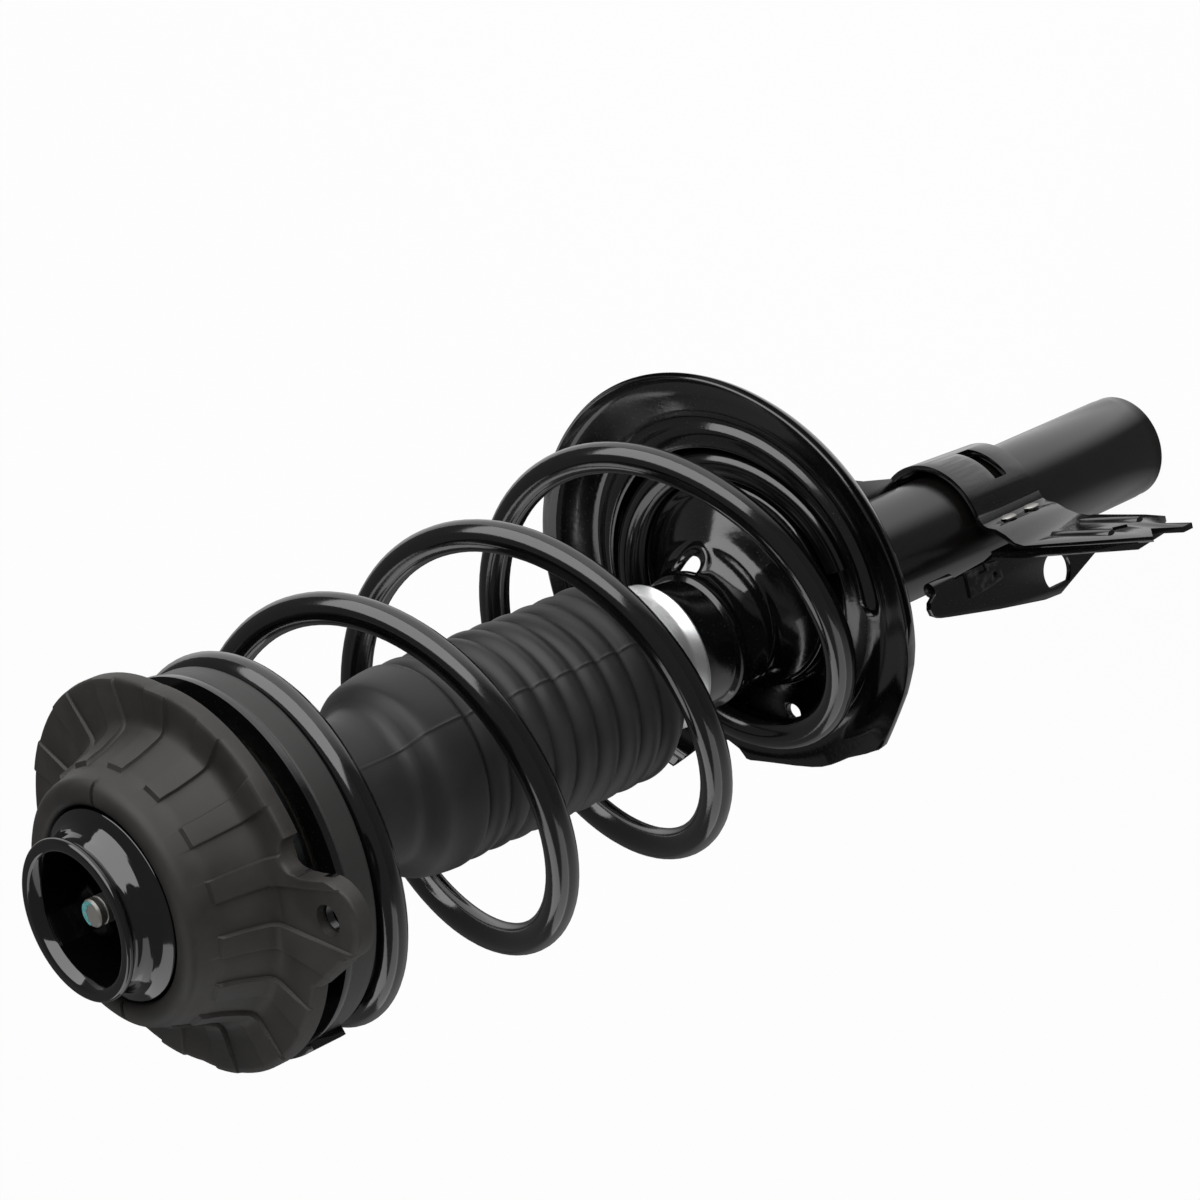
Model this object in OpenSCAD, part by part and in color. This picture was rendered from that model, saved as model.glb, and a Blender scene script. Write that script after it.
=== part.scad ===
// Front suspension strut: damper, coil spring, dust boot and top mount.
// Millimetres. The tube stands along Z with its closed end at Z = 0; the mount cup is at the top.
// +X is the side of the mount ear and of the bracket arm.

/* [Damper tube] */
// Outside diameter of the damper tube
tube_od = 50; // [46:1:52]
// Wall of the damper tube
tube_wall = 2.5; // [2:0.5:3]
// Height of the top edge of the damper tube
tube_len = 330; // [324:1:336]
// Inward roll of the top edge of the tube
tube_lip = 6; // [4:1:7]

/* [Damper inside] */
// Diameter of the piston rod
rod_d = 22; // [18:1:24]
// Diameter of the threaded end of the rod
rod_thread_d = 12; // [10:1:14]
// Outside diameter of the working cylinder
cylinder_od = 32; // [30:1:34]
// Wall of the working cylinder
cylinder_wall = 1.8; // [1.2:0.2:2.4]
// Height of the rod guide
guide_h = 18; // [14:1:22]
// Height of the rod seal
seal_h = 8; // [6:1:9]
// Height of the foot valve
foot_h = 17; // [14:1:22]
// Height of the piston
piston_h = 22; // [16:1:26]
// Height of the rebound stop ring
rebound_h = 9; // [6:1:12]
// Radial play of every sliding or turning fit
fit_gap = 0.05; // [0.03:0.01:0.1]

/* [Travel] */
// Height of the striker cap
cap_h = 14; // [11:1:18]
// Outside diameter of the striker cap
cap_d = 65.5; // [60:0.5:68]
// Sheet of the striker cap
cap_sheet = 2; // [1.5:0.5:2.5]
// Bump travel from rest to where the bump stop meets the cap
travel = 143; // [130:1:150]

/* [Bump stop] */
// Outside diameter of the bump stop
bump_d = 52; // [46:1:54]
// Depth of the waists of the bump stop
bump_waist = 5; // [3:1:7]

/* [Coil spring] */
// Wire diameter
wire_d = 13.5; // [12:0.5:14.5]
// Mean radius of the top coil
spring_top_r = 73.6; // [72:0.2:76]
// Mean radius of the middle coils
spring_mid_r = 81; // [79:0.5:84]
// Turns at rest, end to end
spring_turns = 4.75; // [4.6:0.05:4.8]

/* [Lower spring seat] */
// Radius of the rim of the lower seat
seat_r = 101.6; // [99:0.2:105]
// Height of the middle of the rim
seat_z = 271.2; // [268:0.2:274]
// Shift of the dish along X
seat_shift_x = -3.2; // [-5:0.2:0]
// Shift of the dish along Y
seat_shift_y = 13; // [8:0.5:15]
// Tilt of the dish about X in degrees
seat_tilt_x = 4.4; // [2:0.2:6]
// Tilt of the dish about Y in degrees
seat_tilt_y = 4.7; // [2:0.2:6]
// Sheet of the lower seat
seat_sheet = 3; // [2.5:0.5:3.5]
// Mean radius of the groove for the spring end
groove_r = 57; // [56:0.5:58]
// Depth of the groove floor below the rim
groove_depth = 23; // [22:0.5:25]
// Depth of the track beside the groove
track_depth = 8.5; // [7:0.5:10]
// Radius of the step between the track and the outer band
step_r = 76; // [74.5:0.5:79]
// Length of the collar that is welded to the tube
collar_len = 24; // [18:1:26]
// Wall of the collar
collar_wall = 3.5; // [3:0.5:4.5]
// Diameter of the drain hole
drain_d = 8; // [6:0.5:9]

/* [Upper spring seat] */
// Radius of the upper seat pan
pan_r = 78; // [76:0.5:80]
// Sheet of the upper seat pan
pan_sheet = 3; // [2:0.5:4]
// Radius of the isolator
isolator_r = 77; // [75:0.5:77.5]
// Thickness of the isolator between the pan and the spring
isolator_t = 13.5; // [11:0.5:15]

/* [Bearing] */
// Ball diameter
ball_d = 5.5; // [5:0.5:6]
// Number of balls
ball_count = 28; // [20:1:32]
// Pitch radius of the balls
ball_pitch_r = 52; // [49:0.5:55]
// Width of the races
race_w = 20; // [16:1:24]

/* [Dust boot] */
// Outside radius of the boot neck
boot_neck_r = 32; // [31:0.5:33]
// Mean outside radius of the convolutions
boot_r = 42.2; // [41.6:0.2:43.6]
// Depth of a convolution
boot_fold = 3.4; // [2.4:0.2:4]
// Number of convolutions
boot_folds = 9; // [8:1:11]
// Wall of the boot
boot_wall = 2; // [1.4:0.2:2.4]

/* [Mount plate] */
// Height of the underside of the mount plate
mount_z = 573; // [570:1:576]
// Thickness of the steel plate
plate_t = 3; // [2.5:0.5:4]
// Thickness of the rubber skin on the plate
skin_t = 4; // [3:0.5:5]
// Radius of the round part of the plate
plate_r = 77; // [76:0.5:80]
// Reach of the ear from the tube axis
ear_x = 92; // [88:1:96]
// Radius of the round end of the ear
ear_r = 16.2; // [14:0.2:18]
// Diameter of the ear hole
ear_hole_d = 10.4; // [8:0.2:12.4]

/* [Rubber dome] */
// Outer radius at the foot of the dome
dome_foot_r = 60; // [58:0.5:62]
// Outer radius at the shoulder of the dome
dome_top_r = 51.5; // [50:0.5:53]
// Height of the dome over the mount plate
dome_h = 41; // [38:1:43]
// Radius of the mouth of the dome
dome_mouth_r = 40.2; // [38:0.2:41.4]
// Number of ribs round the dome
rib_count = 15; // [12:1:16]
// Angle across one rib in degrees
rib_angle = 9.6; // [6:0.2:12]
// Height of a rib
rib_h = 1.8; // [1:0.2:2.6]

/* [Mount cup] */
// Radius of the cup rim
cup_rim_r = 33.3; // [32.5:0.1:35]
// Radius of the cup body
cup_r = 31; // [30:0.5:32]
// Radius of the cup bore
cup_bore_r = 25.7; // [23:0.1:27]
// Height of the cup rim over the underside of the mount plate
cup_rise = 57; // [54:1:60]
// Height of the rod end over the underside of the mount plate
rod_rise = 49; // [40:1:52]

/* [Bracket] */
// Height of the lower edge of the band
band_z = 95; // [90:1:100]
// Width of the band along the tube
band_w = 44; // [40:1:48]
// Outside radius of the band at its upper edge
band_r = 31.9; // [31:0.1:33]
// Sheet of the band and arm
band_sheet = 2.6; // [2:0.2:3.2]
// Reach of the arm along X
arm_x = 128; // [120:1:134]
// Side of the square hole in the arm
arm_hole = 6.6; // [5:0.2:8]
// Thickness of the hanging plate
link_sheet = 2.8; // [2:0.2:3.4]
// Radius of the hole in the hanging plate
link_hole_r = 9.3; // [7.5:0.2:9.7]

/* [Hidden] */
$fn = 96;
tube_r = tube_od / 2;
tube_bore_r = tube_r - tube_wall;
rod_r = rod_d / 2;
thread_r = rod_thread_d / 2;
cylinder_r = cylinder_od / 2;
cylinder_bore_r = cylinder_r - cylinder_wall;
wire_r = wire_d / 2;
mount_top = mount_z + plate_t;
skin_top = mount_top + skin_t;
cup_top = mount_z + cup_rise;
cup_floor_z = mount_z + 9;
floor_t = 5;
shoulder_z = cup_floor_z - floor_t;
edge_roll = 2;
base_t = 4.5;
base_z = 0;
foot_z = base_z + base_t;
cylinder_z = foot_z + foot_h - 10;
lip_t = 3.5;
seal_z = tube_len - lip_t - seal_h;
guide_z = seal_z - guide_h;
spigot_h = 8;
stop_gap = 0.2;
rebound_z = guide_z - stop_gap - rebound_h;
piston_z = rebound_z - piston_h - 20;
cap_top = tube_len + cap_sheet;
cap_z = cap_top - cap_h;
cap_r = cap_d / 2;
bump_z = cap_top + travel;
race_t = 3;
pan_z = mount_z - 2 * race_t - 4 - pan_sheet;
ball_z = mount_z - race_t - 2;
isolator_z = pan_z - isolator_t;
top_shift = [1, -3];

// ---------- shared helpers ----------

// A ring of rectangular section.
module ring(r_out, r_in, z, h) {
    translate([0, 0, z])
        difference() {
            cylinder(r = r_out, h = h);
            translate([0, 0, -1]) cylinder(r = r_in, h = h + 2);
        }
}

// Copies round the Z axis.
module around(count, start = 0) {
    for (i = [0 : count - 1]) rotate([0, 0, start + i * 360 / count]) children();
}

function unit(v) = v / norm(v);
function left(v) = [-v[1], v[0]];
function mix(a, b, k) = a + (b - a) * k;
function clamp01(x) = max(0, min(1, x));
function ease(x) = clamp01(x) * clamp01(x) * (3 - 2 * clamp01(x));

// Unit normal of a polyline at point i.
function bend_normal(p, i) =
    left(unit((i < len(p) - 1 ? unit(p[i + 1] - p[i]) : unit(p[i] - p[i - 1]))
            + (i > 0 ? unit(p[i] - p[i - 1]) : unit(p[i + 1] - p[i]))));
// Outline of a strip of sheet t thick whose middle follows the polyline p.
function strip(p, t) = concat(
    [for (i = [0 : len(p) - 1]) p[i] + bend_normal(p, i) * t / 2],
    [for (i = [len(p) - 1 : -1 : 0]) p[i] - bend_normal(p, i) * t / 2]);

// ---------- damper body ----------

module damper_tube() {
    stop_line_w = 1.5;
    stop_line_d = 0.3;
    stop_line_z = band_z - 2 * stop_line_w;
    color("#17181a")
        rotate_extrude()
            polygon([
                [tube_bore_r, 0],
                [tube_r - edge_roll, 0],
                [tube_r, edge_roll],
                [tube_r, stop_line_z],
                [tube_r - stop_line_d, stop_line_z],
                [tube_r - stop_line_d, stop_line_z + stop_line_w],
                [tube_r, stop_line_z + stop_line_w],
                [tube_r, tube_len - edge_roll],
                [tube_r - edge_roll, tube_len],
                [tube_bore_r - tube_lip, tube_len],
                [tube_bore_r - tube_lip, tube_len - lip_t],
                [tube_bore_r, tube_len - lip_t]
            ]);
}

module tube_base_cap() {
    skirt_h = 10;
    skirt_t = 3;
    pressed_r = 12;
    pressed_w = 5;
    color("#2a2b2d")
        difference() {
            translate([0, 0, base_z]) cylinder(r = tube_bore_r, h = skirt_h);
            translate([0, 0, foot_z]) cylinder(r = tube_bore_r - skirt_t, h = skirt_h);
            ring(pressed_r + pressed_w, pressed_r, base_z - 1, 2);
        }
}

module base_valve() {
    slot_w = 4;
    port_r = 1.6;
    port_ring_r = 8;
    slot_h = 4;
    color("#8d8f92")
        difference() {
            union() {
                translate([0, 0, foot_z]) cylinder(r = cylinder_r, h = cylinder_z - foot_z);
                translate([0, 0, foot_z]) cylinder(r = cylinder_bore_r, h = foot_h);
            }
            translate([0, 0, foot_z - 1]) cylinder(r = port_ring_r + 2 * port_r, h = slot_h + 1);
            around(3)
                translate([-tube_r, -slot_w / 2, foot_z - 1]) cube([tube_od, slot_w, slot_h]);
            around(6)
                translate([port_ring_r, 0, foot_z]) cylinder(r = port_r, h = foot_h + 1);
        }
}

module inner_cylinder() {
    color("#9a9c9f") ring(cylinder_r, cylinder_bore_r, cylinder_z, guide_z + spigot_h - cylinder_z);
}

module rod_guide() {
    color("#77797c")
        difference() {
            union() {
                translate([0, 0, guide_z]) cylinder(r = cylinder_bore_r, h = spigot_h);
                translate([0, 0, guide_z + spigot_h]) cylinder(r = tube_bore_r, h = guide_h - spigot_h);
            }
            translate([0, 0, guide_z - 1]) cylinder(r = rod_r + fit_gap, h = guide_h + 2);
        }
}

module rod_seal() {
    color("#151515") ring(tube_bore_r, rod_r + fit_gap, seal_z, seal_h);
}

// Cup pressed over the tube end; its ribs grip the tube.
module striker_cap() {
    rib_w = 5;
    rim_hole_r = tube_bore_r - tube_lip;
    color("#d8dadd")
        union() {
            ring(cap_r, cap_r - cap_sheet, cap_z, cap_h);
            ring(cap_r, rim_hole_r, tube_len, cap_sheet);
            intersection() {
                around(4)
                    translate([-cap_r, -rib_w / 2, cap_z + 1.5]) cube([cap_d, rib_w, cap_h - 2]);
                ring(cap_r - 1, tube_r, cap_z, cap_h);
            }
        }
}

// ---------- lower spring seat ----------

module seat_place() {
    translate([seat_shift_x, seat_shift_y, seat_z]) rotate([seat_tilt_x, seat_tilt_y, 0]) children();
}

groove_play = 0.75;
groove_out = groove_r + wire_r + groove_play;
groove_in = groove_r - wire_r - groove_play;
shoulder_depth = 11;
trough_shift = 4;
collar_r = tube_r + collar_wall;
collar_z = cap_z - collar_len;

// Sheet dish from the track out to the rolled rim.
module dish() {
    rotate_extrude()
        polygon([
            [groove_out - 2, -track_depth],
            [step_r - 5, -track_depth],
            [step_r - 2.5, -track_depth - 1],
            [step_r + 1, -track_depth - 4],
            [step_r + 8, -track_depth - 3],
            [seat_r - 8, -8],
            [seat_r - 3.4, -4.4],
            [seat_r - 0.6, 0.4],
            [seat_r, 0],
            [seat_r, -seat_sheet],
            [seat_r - 2.4, -4.6 - seat_sheet],
            [seat_r - 7, -8.6 - seat_sheet],
            [step_r + 8.5, -track_depth - 3.2 - seat_sheet],
            [step_r - 0.5, -track_depth - 4 - seat_sheet],
            [step_r - 4, -track_depth - 1 - seat_sheet],
            [groove_out - 2, -track_depth - seat_sheet]
        ]);
}

// Inner wall of the groove with its rounded shoulder.
module inner_wall() {
    rotate_extrude()
        polygon([
            [groove_in + 2, -groove_depth],
            [groove_in, -groove_depth + 2.5],
            [groove_in - 0.6, -shoulder_depth - 2],
            [groove_in - 2.4, -shoulder_depth],
            [groove_in - 5, -shoulder_depth],
            [groove_in - 5, -shoulder_depth - seat_sheet],
            [groove_in - 3.6, -shoulder_depth - seat_sheet - 1],
            [groove_in - seat_sheet, -groove_depth + 2],
            [groove_in - 1, -groove_depth - seat_sheet],
            [groove_in + 2, -groove_depth - seat_sheet]
        ]);
}

// Centre, radius and height of the flare between collar and shoulder; k runs 0 at the collar to 1.
function flare_r(k, inset) = mix(collar_r + 1.6, groove_in - 2.4, k * k) - inset;
function flare_z(k) = mix(collar_z - 1, seat_z - shoulder_depth, k);
module flare_disc(k, inset, h) {
    place = ease(k);
    translate([seat_shift_x * place, seat_shift_y * place, flare_z(k)])
        rotate([seat_tilt_x * place, seat_tilt_y * place, 0])
            translate([0, 0, -h]) cylinder(r = flare_r(k, inset), h = h, $fn = 40);
}
module flare_solid(inset, h) {
    steps = 3;
    for (i = [0 : steps - 1])
        hull() {
            flare_disc(i / steps, inset, h);
            flare_disc((i + 1) / steps, inset, h);
        }
}

// Edge of the trimmed side of the dish, in shares of the rim radius.
trim_line = [
    [1.03, -0.12], [0.935, -0.282], [0.894, -0.373], [0.804, -0.508], [0.692, -0.645],
    [0.6, -0.748], [0.497, -0.778], [0.381, -0.802], [0.268, -0.837], [0.148, -0.851],
    [-0.05, -0.838], [-0.22, -0.819], [-0.262, -0.771], [-0.319, -0.732], [-0.43, -0.73],
    [-0.62, -0.83]
];

// Everything outside the trimmed edge, in the place of the dish.
module trim_waste() {
    far = 1.1;
    deep = seat_r / 2;
    seat_place()
        translate([0, 0, -deep]) linear_extrude(height = 2 * deep)
            polygon(seat_r * concat(trim_line, [[-0.65, -far], [far, -far], [far, -0.12]]));
}

module lower_spring_seat() {
    arch_r = 8;
    arch_y = tube_r + 1.6;
    arch_low = collar_z - 30;
    arch_top = collar_z - 3;
    drain_x = -5;
    drain_y = -51;
    color("#101113")
        difference() {
            union() {
                difference() {
                    union() {
                        seat_place() dish();
                        seat_place()
                            translate([0, -trough_shift, -groove_depth - seat_sheet])
                                cylinder(r = groove_out + trough_shift + seat_sheet,
                                         h = groove_depth + seat_sheet - track_depth - 1);
                    }
                    seat_place()
                        translate([0, -trough_shift, -groove_depth])
                            cylinder(r = groove_out + trough_shift, h = groove_depth + 5);
                    seat_place()
                        translate([0, 0, -groove_depth - seat_sheet - 1])
                            cylinder(r = groove_in + 1, h = groove_depth);
                }
                seat_place() inner_wall();
                flare_solid(0, seat_sheet);
                translate([0, 0, collar_z]) cylinder(r = collar_r, h = collar_len);
                translate([0, 0, collar_z - 1]) cylinder(r = collar_r + 1.6, h = 5);
            }
            flare_solid(seat_sheet, seat_sheet * 3);
            cylinder(r = tube_r, h = tube_len);
            translate([0, arch_y, arch_low]) cylinder(r = arch_r, h = arch_top - arch_low);
            translate([drain_x, drain_y, 0]) cylinder(r = drain_d / 2, h = seat_z);
            trim_waste();
        }
}

// ---------- bracket on the tube ----------

band_top = band_z + band_w;
band_taper = 2;
band_from = 4;
band_sweep = 196;
arm_y = -8;

// Band round the far side of the tube, its lower edge turned in to the tube.
module band() {
    foot = 3.2;
    rotate([0, 0, band_from])
        rotate_extrude(angle = band_sweep)
            polygon([
                [tube_r, band_z],
                [band_r - band_taper - 1.2, band_z],
                [band_r - band_taper, band_z + 1.2],
                [band_r, band_top],
                [band_r - band_sheet, band_top],
                [band_r - band_taper - band_sheet, band_z + foot],
                [tube_r, band_z + foot]
            ]);
}

// Path of the arm in the X-Y plane, from the band to the tongue.
arm_path = [
    [band_r - band_sheet / 2, 6], [band_r + 0.6, 2.2], [band_r + 3.6, 0.6], [band_r + 9, -0.2],
    [band_r + 14, -2.6], [band_r + 19, -6.2], [band_r + 24, arm_y], [arm_x, arm_y]
];
arm_outline = [
    [tube_r + 2, band_top], [52, band_top + 2], [arm_x - 6, band_z + 34], [arm_x - 17, band_z + 22],
    [arm_x, band_z + 20.5], [arm_x, band_z + 14], [arm_x - 18, band_z + 14],
    [arm_x - 24, band_z + 3], [arm_x - 38, band_z], [58, band_z - 2], [47, band_z + 4],
    [tube_r + 2, band_z + 2]
];

// Square hole through the arm and the flange under it.
module arm_square() {
    hole_x = 91;
    hole_z = band_z + 19.3;
    translate([hole_x, arm_y - 10, hole_z])
        rotate([0, 45, 0]) translate([-arm_hole / 2, 0, -arm_hole / 2]) cube([arm_hole, 20, arm_hole]);
}

module clamp_bracket() {
    slot_from = 36;
    slot_sweep = 47;
    slot_z = 108;
    slot_h = 8.4;
    punch_r = 2.4;
    punch_x = band_r + 2;
    bead_r = 2.6;
    bead_from = band_r + 28;
    bead_to = arm_x - 34;
    color("#141517")
        union() {
            difference() {
                band();
                rotate([0, 0, slot_from])
                    rotate_extrude(angle = slot_sweep)
                        translate([tube_r + 0.5, slot_z]) square([20, slot_h]);
            }
            difference() {
                intersection() {
                    linear_extrude(height = band_top + 20) polygon(strip(arm_path, band_sheet));
                    rotate([90, 0, 0])
                        translate([0, 0, -30]) linear_extrude(height = 60) polygon(arm_outline);
                }
                arm_square();
                for (z = [band_z + 14, band_z + 30])
                    translate([punch_x + 2, 20, z]) rotate([90, 0, 0]) cylinder(r = punch_r, h = 40);
            }
            // pressed stiffening beads on the flat of the arm
            intersection() {
                for (z = [band_z + 9, band_z + 29])
                    translate([bead_from, arm_y + band_sheet / 2 - 1, z])
                        rotate([0, 90, 0]) cylinder(r = bead_r, h = bead_to - bead_from);
                translate([0, arm_y, 0]) cube([arm_x, 10, band_top]);
            }
        }
}

link_x = 35;
link_top_y = arm_y - band_sheet / 2;

// Plate that hangs below the arm, with a flange that is welded under it.
module link_plate() {
    hole_y = -30.3;
    hole_z = 103.2;
    flat_y = hole_y - 6.5;
    roll_r = 3.4;
    color("#151618")
        union() {
            difference() {
                rotate([0, 90, 0])
                    translate([0, 0, link_x]) linear_extrude(height = link_sheet)
                        polygon([
                            [-band_top, link_top_y - 1], [-(band_top + 7), -12], [-(band_top + 42), -14],
                            [-(band_top + 45), -16.6], [-(band_top + 48), -18.4], [-(band_top + 49), -21.3],
                            [-(band_top + 48), -24.5], [-(band_top + 44), -26.8], [-(band_top + 38), -28.2],
                            [-(band_top + 6), -35], [-(band_z + 20), -40.4], [-(band_z + 9), -41],
                            [-(band_z - 21), -29.6], [-(band_z - 21), -27.6], [-band_z, link_top_y]
                        ]);
                translate([link_x - 5, hole_y, hole_z])
                    intersection() {
                        rotate([0, 90, 0]) cylinder(r = link_hole_r, h = 20);
                        translate([0, flat_y - hole_y, -20]) cube([20, 40, 40]);
                    }
            }
            difference() {
                translate([0, link_top_y, 0]) rotate([90, 0, 0])
                    linear_extrude(height = link_sheet)
                        polygon([
                            [link_x, band_z + 4], [link_x, band_top + 1], [54, band_top + 3],
                            [arm_x - 14, band_z + 36], [arm_x - 20, band_z + 6], [60, band_z + 2]
                        ]);
                arm_square();
            }
            translate([link_x + link_sheet - roll_r, -14, band_top + 30])
                cylinder(r = roll_r, h = 14);
        }
}

// Small clip plate spot-welded to the outside of the hanging plate.
module bracket_clip() {
    clip_t = 1.6;
    color("#6f7174")
        difference() {
            rotate([0, 90, 0])
                translate([0, 0, link_x + link_sheet]) linear_extrude(height = clip_t)
                    polygon([
                        [-(band_top + 24), -12], [-(band_top + 16), -12], [-(band_top + 16), -15.5],
                        [-(band_top + 10), -15.5], [-(band_top + 10), -12.5], [-(band_top + 2), -13.5],
                        [-(band_top + 1), -21.5], [-(band_top + 8), -23], [-(band_top + 24), -24]
                    ]);
            translate([link_x, -18.5, band_top + 6]) rotate([0, 90, 0]) cylinder(r = 1.4, h = 10);
        }
}

// Radial tab behind the band.
module rear_tab() {
    tab_t = 3;
    color("#141517")
        rotate([0, 0, 112])
            difference() {
                rotate([90, 0, 0])
                    translate([0, 0, -tab_t / 2]) linear_extrude(height = tab_t)
                        polygon([
                            [tube_r - 1, band_top + 5], [tube_r + 5, band_top + 8],
                            [tube_r + 9, band_top + 24], [tube_r + 12.5, band_top + 32],
                            [tube_r + 12, band_top + 39], [tube_r - 1, band_top + 48]
                        ]);
                cylinder(r = tube_r, h = tube_len);
            }
}

// ---------- coil spring ----------

spring_top_z = isolator_z - wire_r;
seat_wire_depth = groove_depth - wire_r;
spring_bottom_z = seat_z - seat_wire_depth;
lift_turn = 0.35;
lift_blend = 0.34;
land_blend = 1.42;
land_turn = 3.58;
start_turn = -0.5;
end_turn = start_turn + spring_turns;
start_angle = -5.4;
pitch = (spring_top_z - spring_bottom_z) / (land_turn - lift_turn);
mid_turns = 3.3;
turn_in = 3.2;
foot_shift = [-7.2, 12.7];
bow = [1.2, 7.4];
lean = [-0.043, 0.218];
lean_bow = 0.042;

// Rises from 0 to a slope of 1 over the blend width w.
function ramp(x, w) = x < -w / 2 ? 0 : x > w / 2 ? x : pow(x + w / 2, 2) / (2 * w);
function coil_drop(t) = pitch * (ramp(t - lift_turn, lift_blend) - ramp(t - land_turn, land_blend));
function coil_r(t) =
    spring_top_r + (spring_mid_r - spring_top_r) * ease((t - 0.42) / 0.62)
    - (spring_mid_r - groove_r) * ease((t - turn_in) / 0.54);
function coil_mid(t) = clamp01(t / mid_turns);
function coil_bulge(t) = 4 * coil_mid(t) * (1 - coil_mid(t));
function coil_landed(t) = ease((t - turn_in) / 0.7);
function coil_free(t) = clamp01((t - lift_turn / 2) / lift_turn);
function coil_x(t) = mix(mix(top_shift[0], foot_shift[0], coil_mid(t)) - bow[0] * coil_bulge(t),
                         seat_shift_x, coil_landed(t));
function coil_y(t) = mix(mix(top_shift[1], foot_shift[1], coil_mid(t)) - bow[1] * coil_bulge(t),
                         seat_shift_y, coil_landed(t));
function coil_slope_x(t) = mix(lean[0] * coil_mid(t) * coil_free(t), -tan(seat_tilt_y), coil_landed(t));
function coil_slope_y(t) = mix((lean[1] * coil_mid(t) - lean_bow * coil_bulge(t)) * coil_free(t),
                               tan(seat_tilt_x), coil_landed(t));
function coil_point(t) =
    let (a = start_angle + 360 * t, u = coil_r(t) * sin(a), v = coil_r(t) * cos(a))
    [u + coil_x(t), v + coil_y(t),
     spring_top_z - coil_drop(t) + coil_slope_x(t) * u + coil_slope_y(t) * v];

// Rings of a tube along a path function's points, one side corner kept upward.
function tube_rings(p, r, sides) =
    [for (i = [0 : len(p) - 1])
        let (d = unit(p[min(i + 1, len(p) - 1)] - p[max(i - 1, 0)]),
             side = unit(cross(d, [0, 0, 1])), up = cross(side, d))
        for (k = [0 : sides - 1])
            p[i] + r * (cos(360 * k / sides) * up + sin(360 * k / sides) * side)];
module tube_along(p, r, sides) {
    n = len(p);
    faces = concat(
        [for (i = [0 : n - 2]) for (k = [0 : sides - 1])
            [i * sides + k, i * sides + (k + 1) % sides, (i + 1) * sides + (k + 1) % sides]],
        [for (i = [0 : n - 2]) for (k = [0 : sides - 1])
            [i * sides + k, (i + 1) * sides + (k + 1) % sides, (i + 1) * sides + k]],
        [for (k = [1 : sides - 2]) [0, k + 1, k]],
        [for (k = [1 : sides - 2]) [(n - 1) * sides, (n - 1) * sides + k, (n - 1) * sides + k + 1]]);
    polyhedron(points = tube_rings(p, r, sides), faces = faces, convexity = 8);
}

coil_rings_per_turn = 24;
coil_sides = 8;
coil_steps = round(spring_turns * coil_rings_per_turn);
coil_points = [for (i = [0 : coil_steps]) coil_point(start_turn + spring_turns * i / coil_steps)];
// Least gap between the wire and itself, between points more than half a turn apart.
coil_gap = min([for (i = [0 : coil_steps]) for (j = [i + coil_rings_per_turn / 2 : 1 : coil_steps])
                   norm(coil_points[i] - coil_points[j])]) - wire_d;

module coil_spring() {
    echo(coil_spring_least_gap_mm = coil_gap);
    color("#0e0f10") tube_along(coil_points, wire_r, coil_sides);
}

// ---------- upper spring seat and isolator ----------

spigot_wall = 2.4;
spigot_r = boot_neck_r - boot_wall;
spigot_h_top = 16;

module upper_spring_seat() {
    lug_from = -81;
    lug_sweep = 15;
    lug_t = 3;
    color("#0f1011")
        translate([top_shift[0], top_shift[1], 0])
            union() {
                difference() {
                    translate([0, 0, pan_z]) cylinder(r = pan_r, h = pan_sheet);
                    translate([-top_shift[0], -top_shift[1], pan_z - 1])
                        cylinder(r = spigot_r - spigot_wall, h = pan_sheet + 2);
                }
                translate([-top_shift[0], -top_shift[1], 0])
                    ring(spigot_r, spigot_r - spigot_wall, pan_z - spigot_h_top, spigot_h_top + 1);
                rotate([0, 0, lug_from])
                    rotate_extrude(angle = lug_sweep)
                        translate([pan_r - 1, pan_z - isolator_t]) square([lug_t + 1, isolator_t + pan_sheet]);
            }
}

module spring_isolator() {
    inner_r = 42;
    lip_h = wire_r;
    lip_out = spring_top_r - wire_r - 1.2;
    color("#3a3b3c")
        translate([top_shift[0], top_shift[1], 0])
            rotate_extrude()
                polygon([
                    [inner_r, pan_z], [inner_r, isolator_z - 2], [lip_out - 12, isolator_z - lip_h],
                    [lip_out - 2, isolator_z - lip_h], [lip_out, isolator_z],
                    [isolator_r - 1, isolator_z], [isolator_r, isolator_z + 1],
                    [isolator_r, pan_z - 1.6], [isolator_r - 1.6, pan_z]
                ]);
}

// ---------- top bearing ----------

race_out = ball_pitch_r + race_w / 2;
race_in = ball_pitch_r - race_w / 2;

module ball_track(r) {
    translate([0, 0, ball_z]) rotate_extrude() translate([ball_pitch_r, 0]) circle(r = r, $fn = 48);
}

module bearing_lower_race() {
    color("#a9abae")
        difference() {
            ring(race_out, race_in, pan_z + pan_sheet, race_t);
            ball_track(ball_d / 2);
        }
}

module bearing_upper_race() {
    color("#a9abae")
        difference() {
            ring(race_out, race_in, mount_z - race_t, race_t);
            ball_track(ball_d / 2 + fit_gap);
        }
}

module bearing_cage() {
    cage_t = 1.6;
    color("#c9c2a8")
        difference() {
            ring(ball_pitch_r + 5, ball_pitch_r - 5, ball_z - cage_t / 2, cage_t);
            around(ball_count)
                translate([ball_pitch_r, 0, ball_z - cage_t]) cylinder(r = ball_d / 2 + fit_gap, h = 2 * cage_t);
        }
}

module bearing_balls() {
    color("#d0d2d4")
        around(ball_count) translate([ball_pitch_r, 0, ball_z]) sphere(r = ball_d / 2, $fn = 32);
}

// ---------- dust boot ----------

boot_top = pan_z;
boot_bottom = cap_top;
bulb_z = boot_top - 103.5;
folds_top = bulb_z - 3;
folds_bottom = boot_bottom + 12;
fold_pitch = (folds_top - folds_bottom) / boot_folds;
fold_steps = 6;

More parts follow.
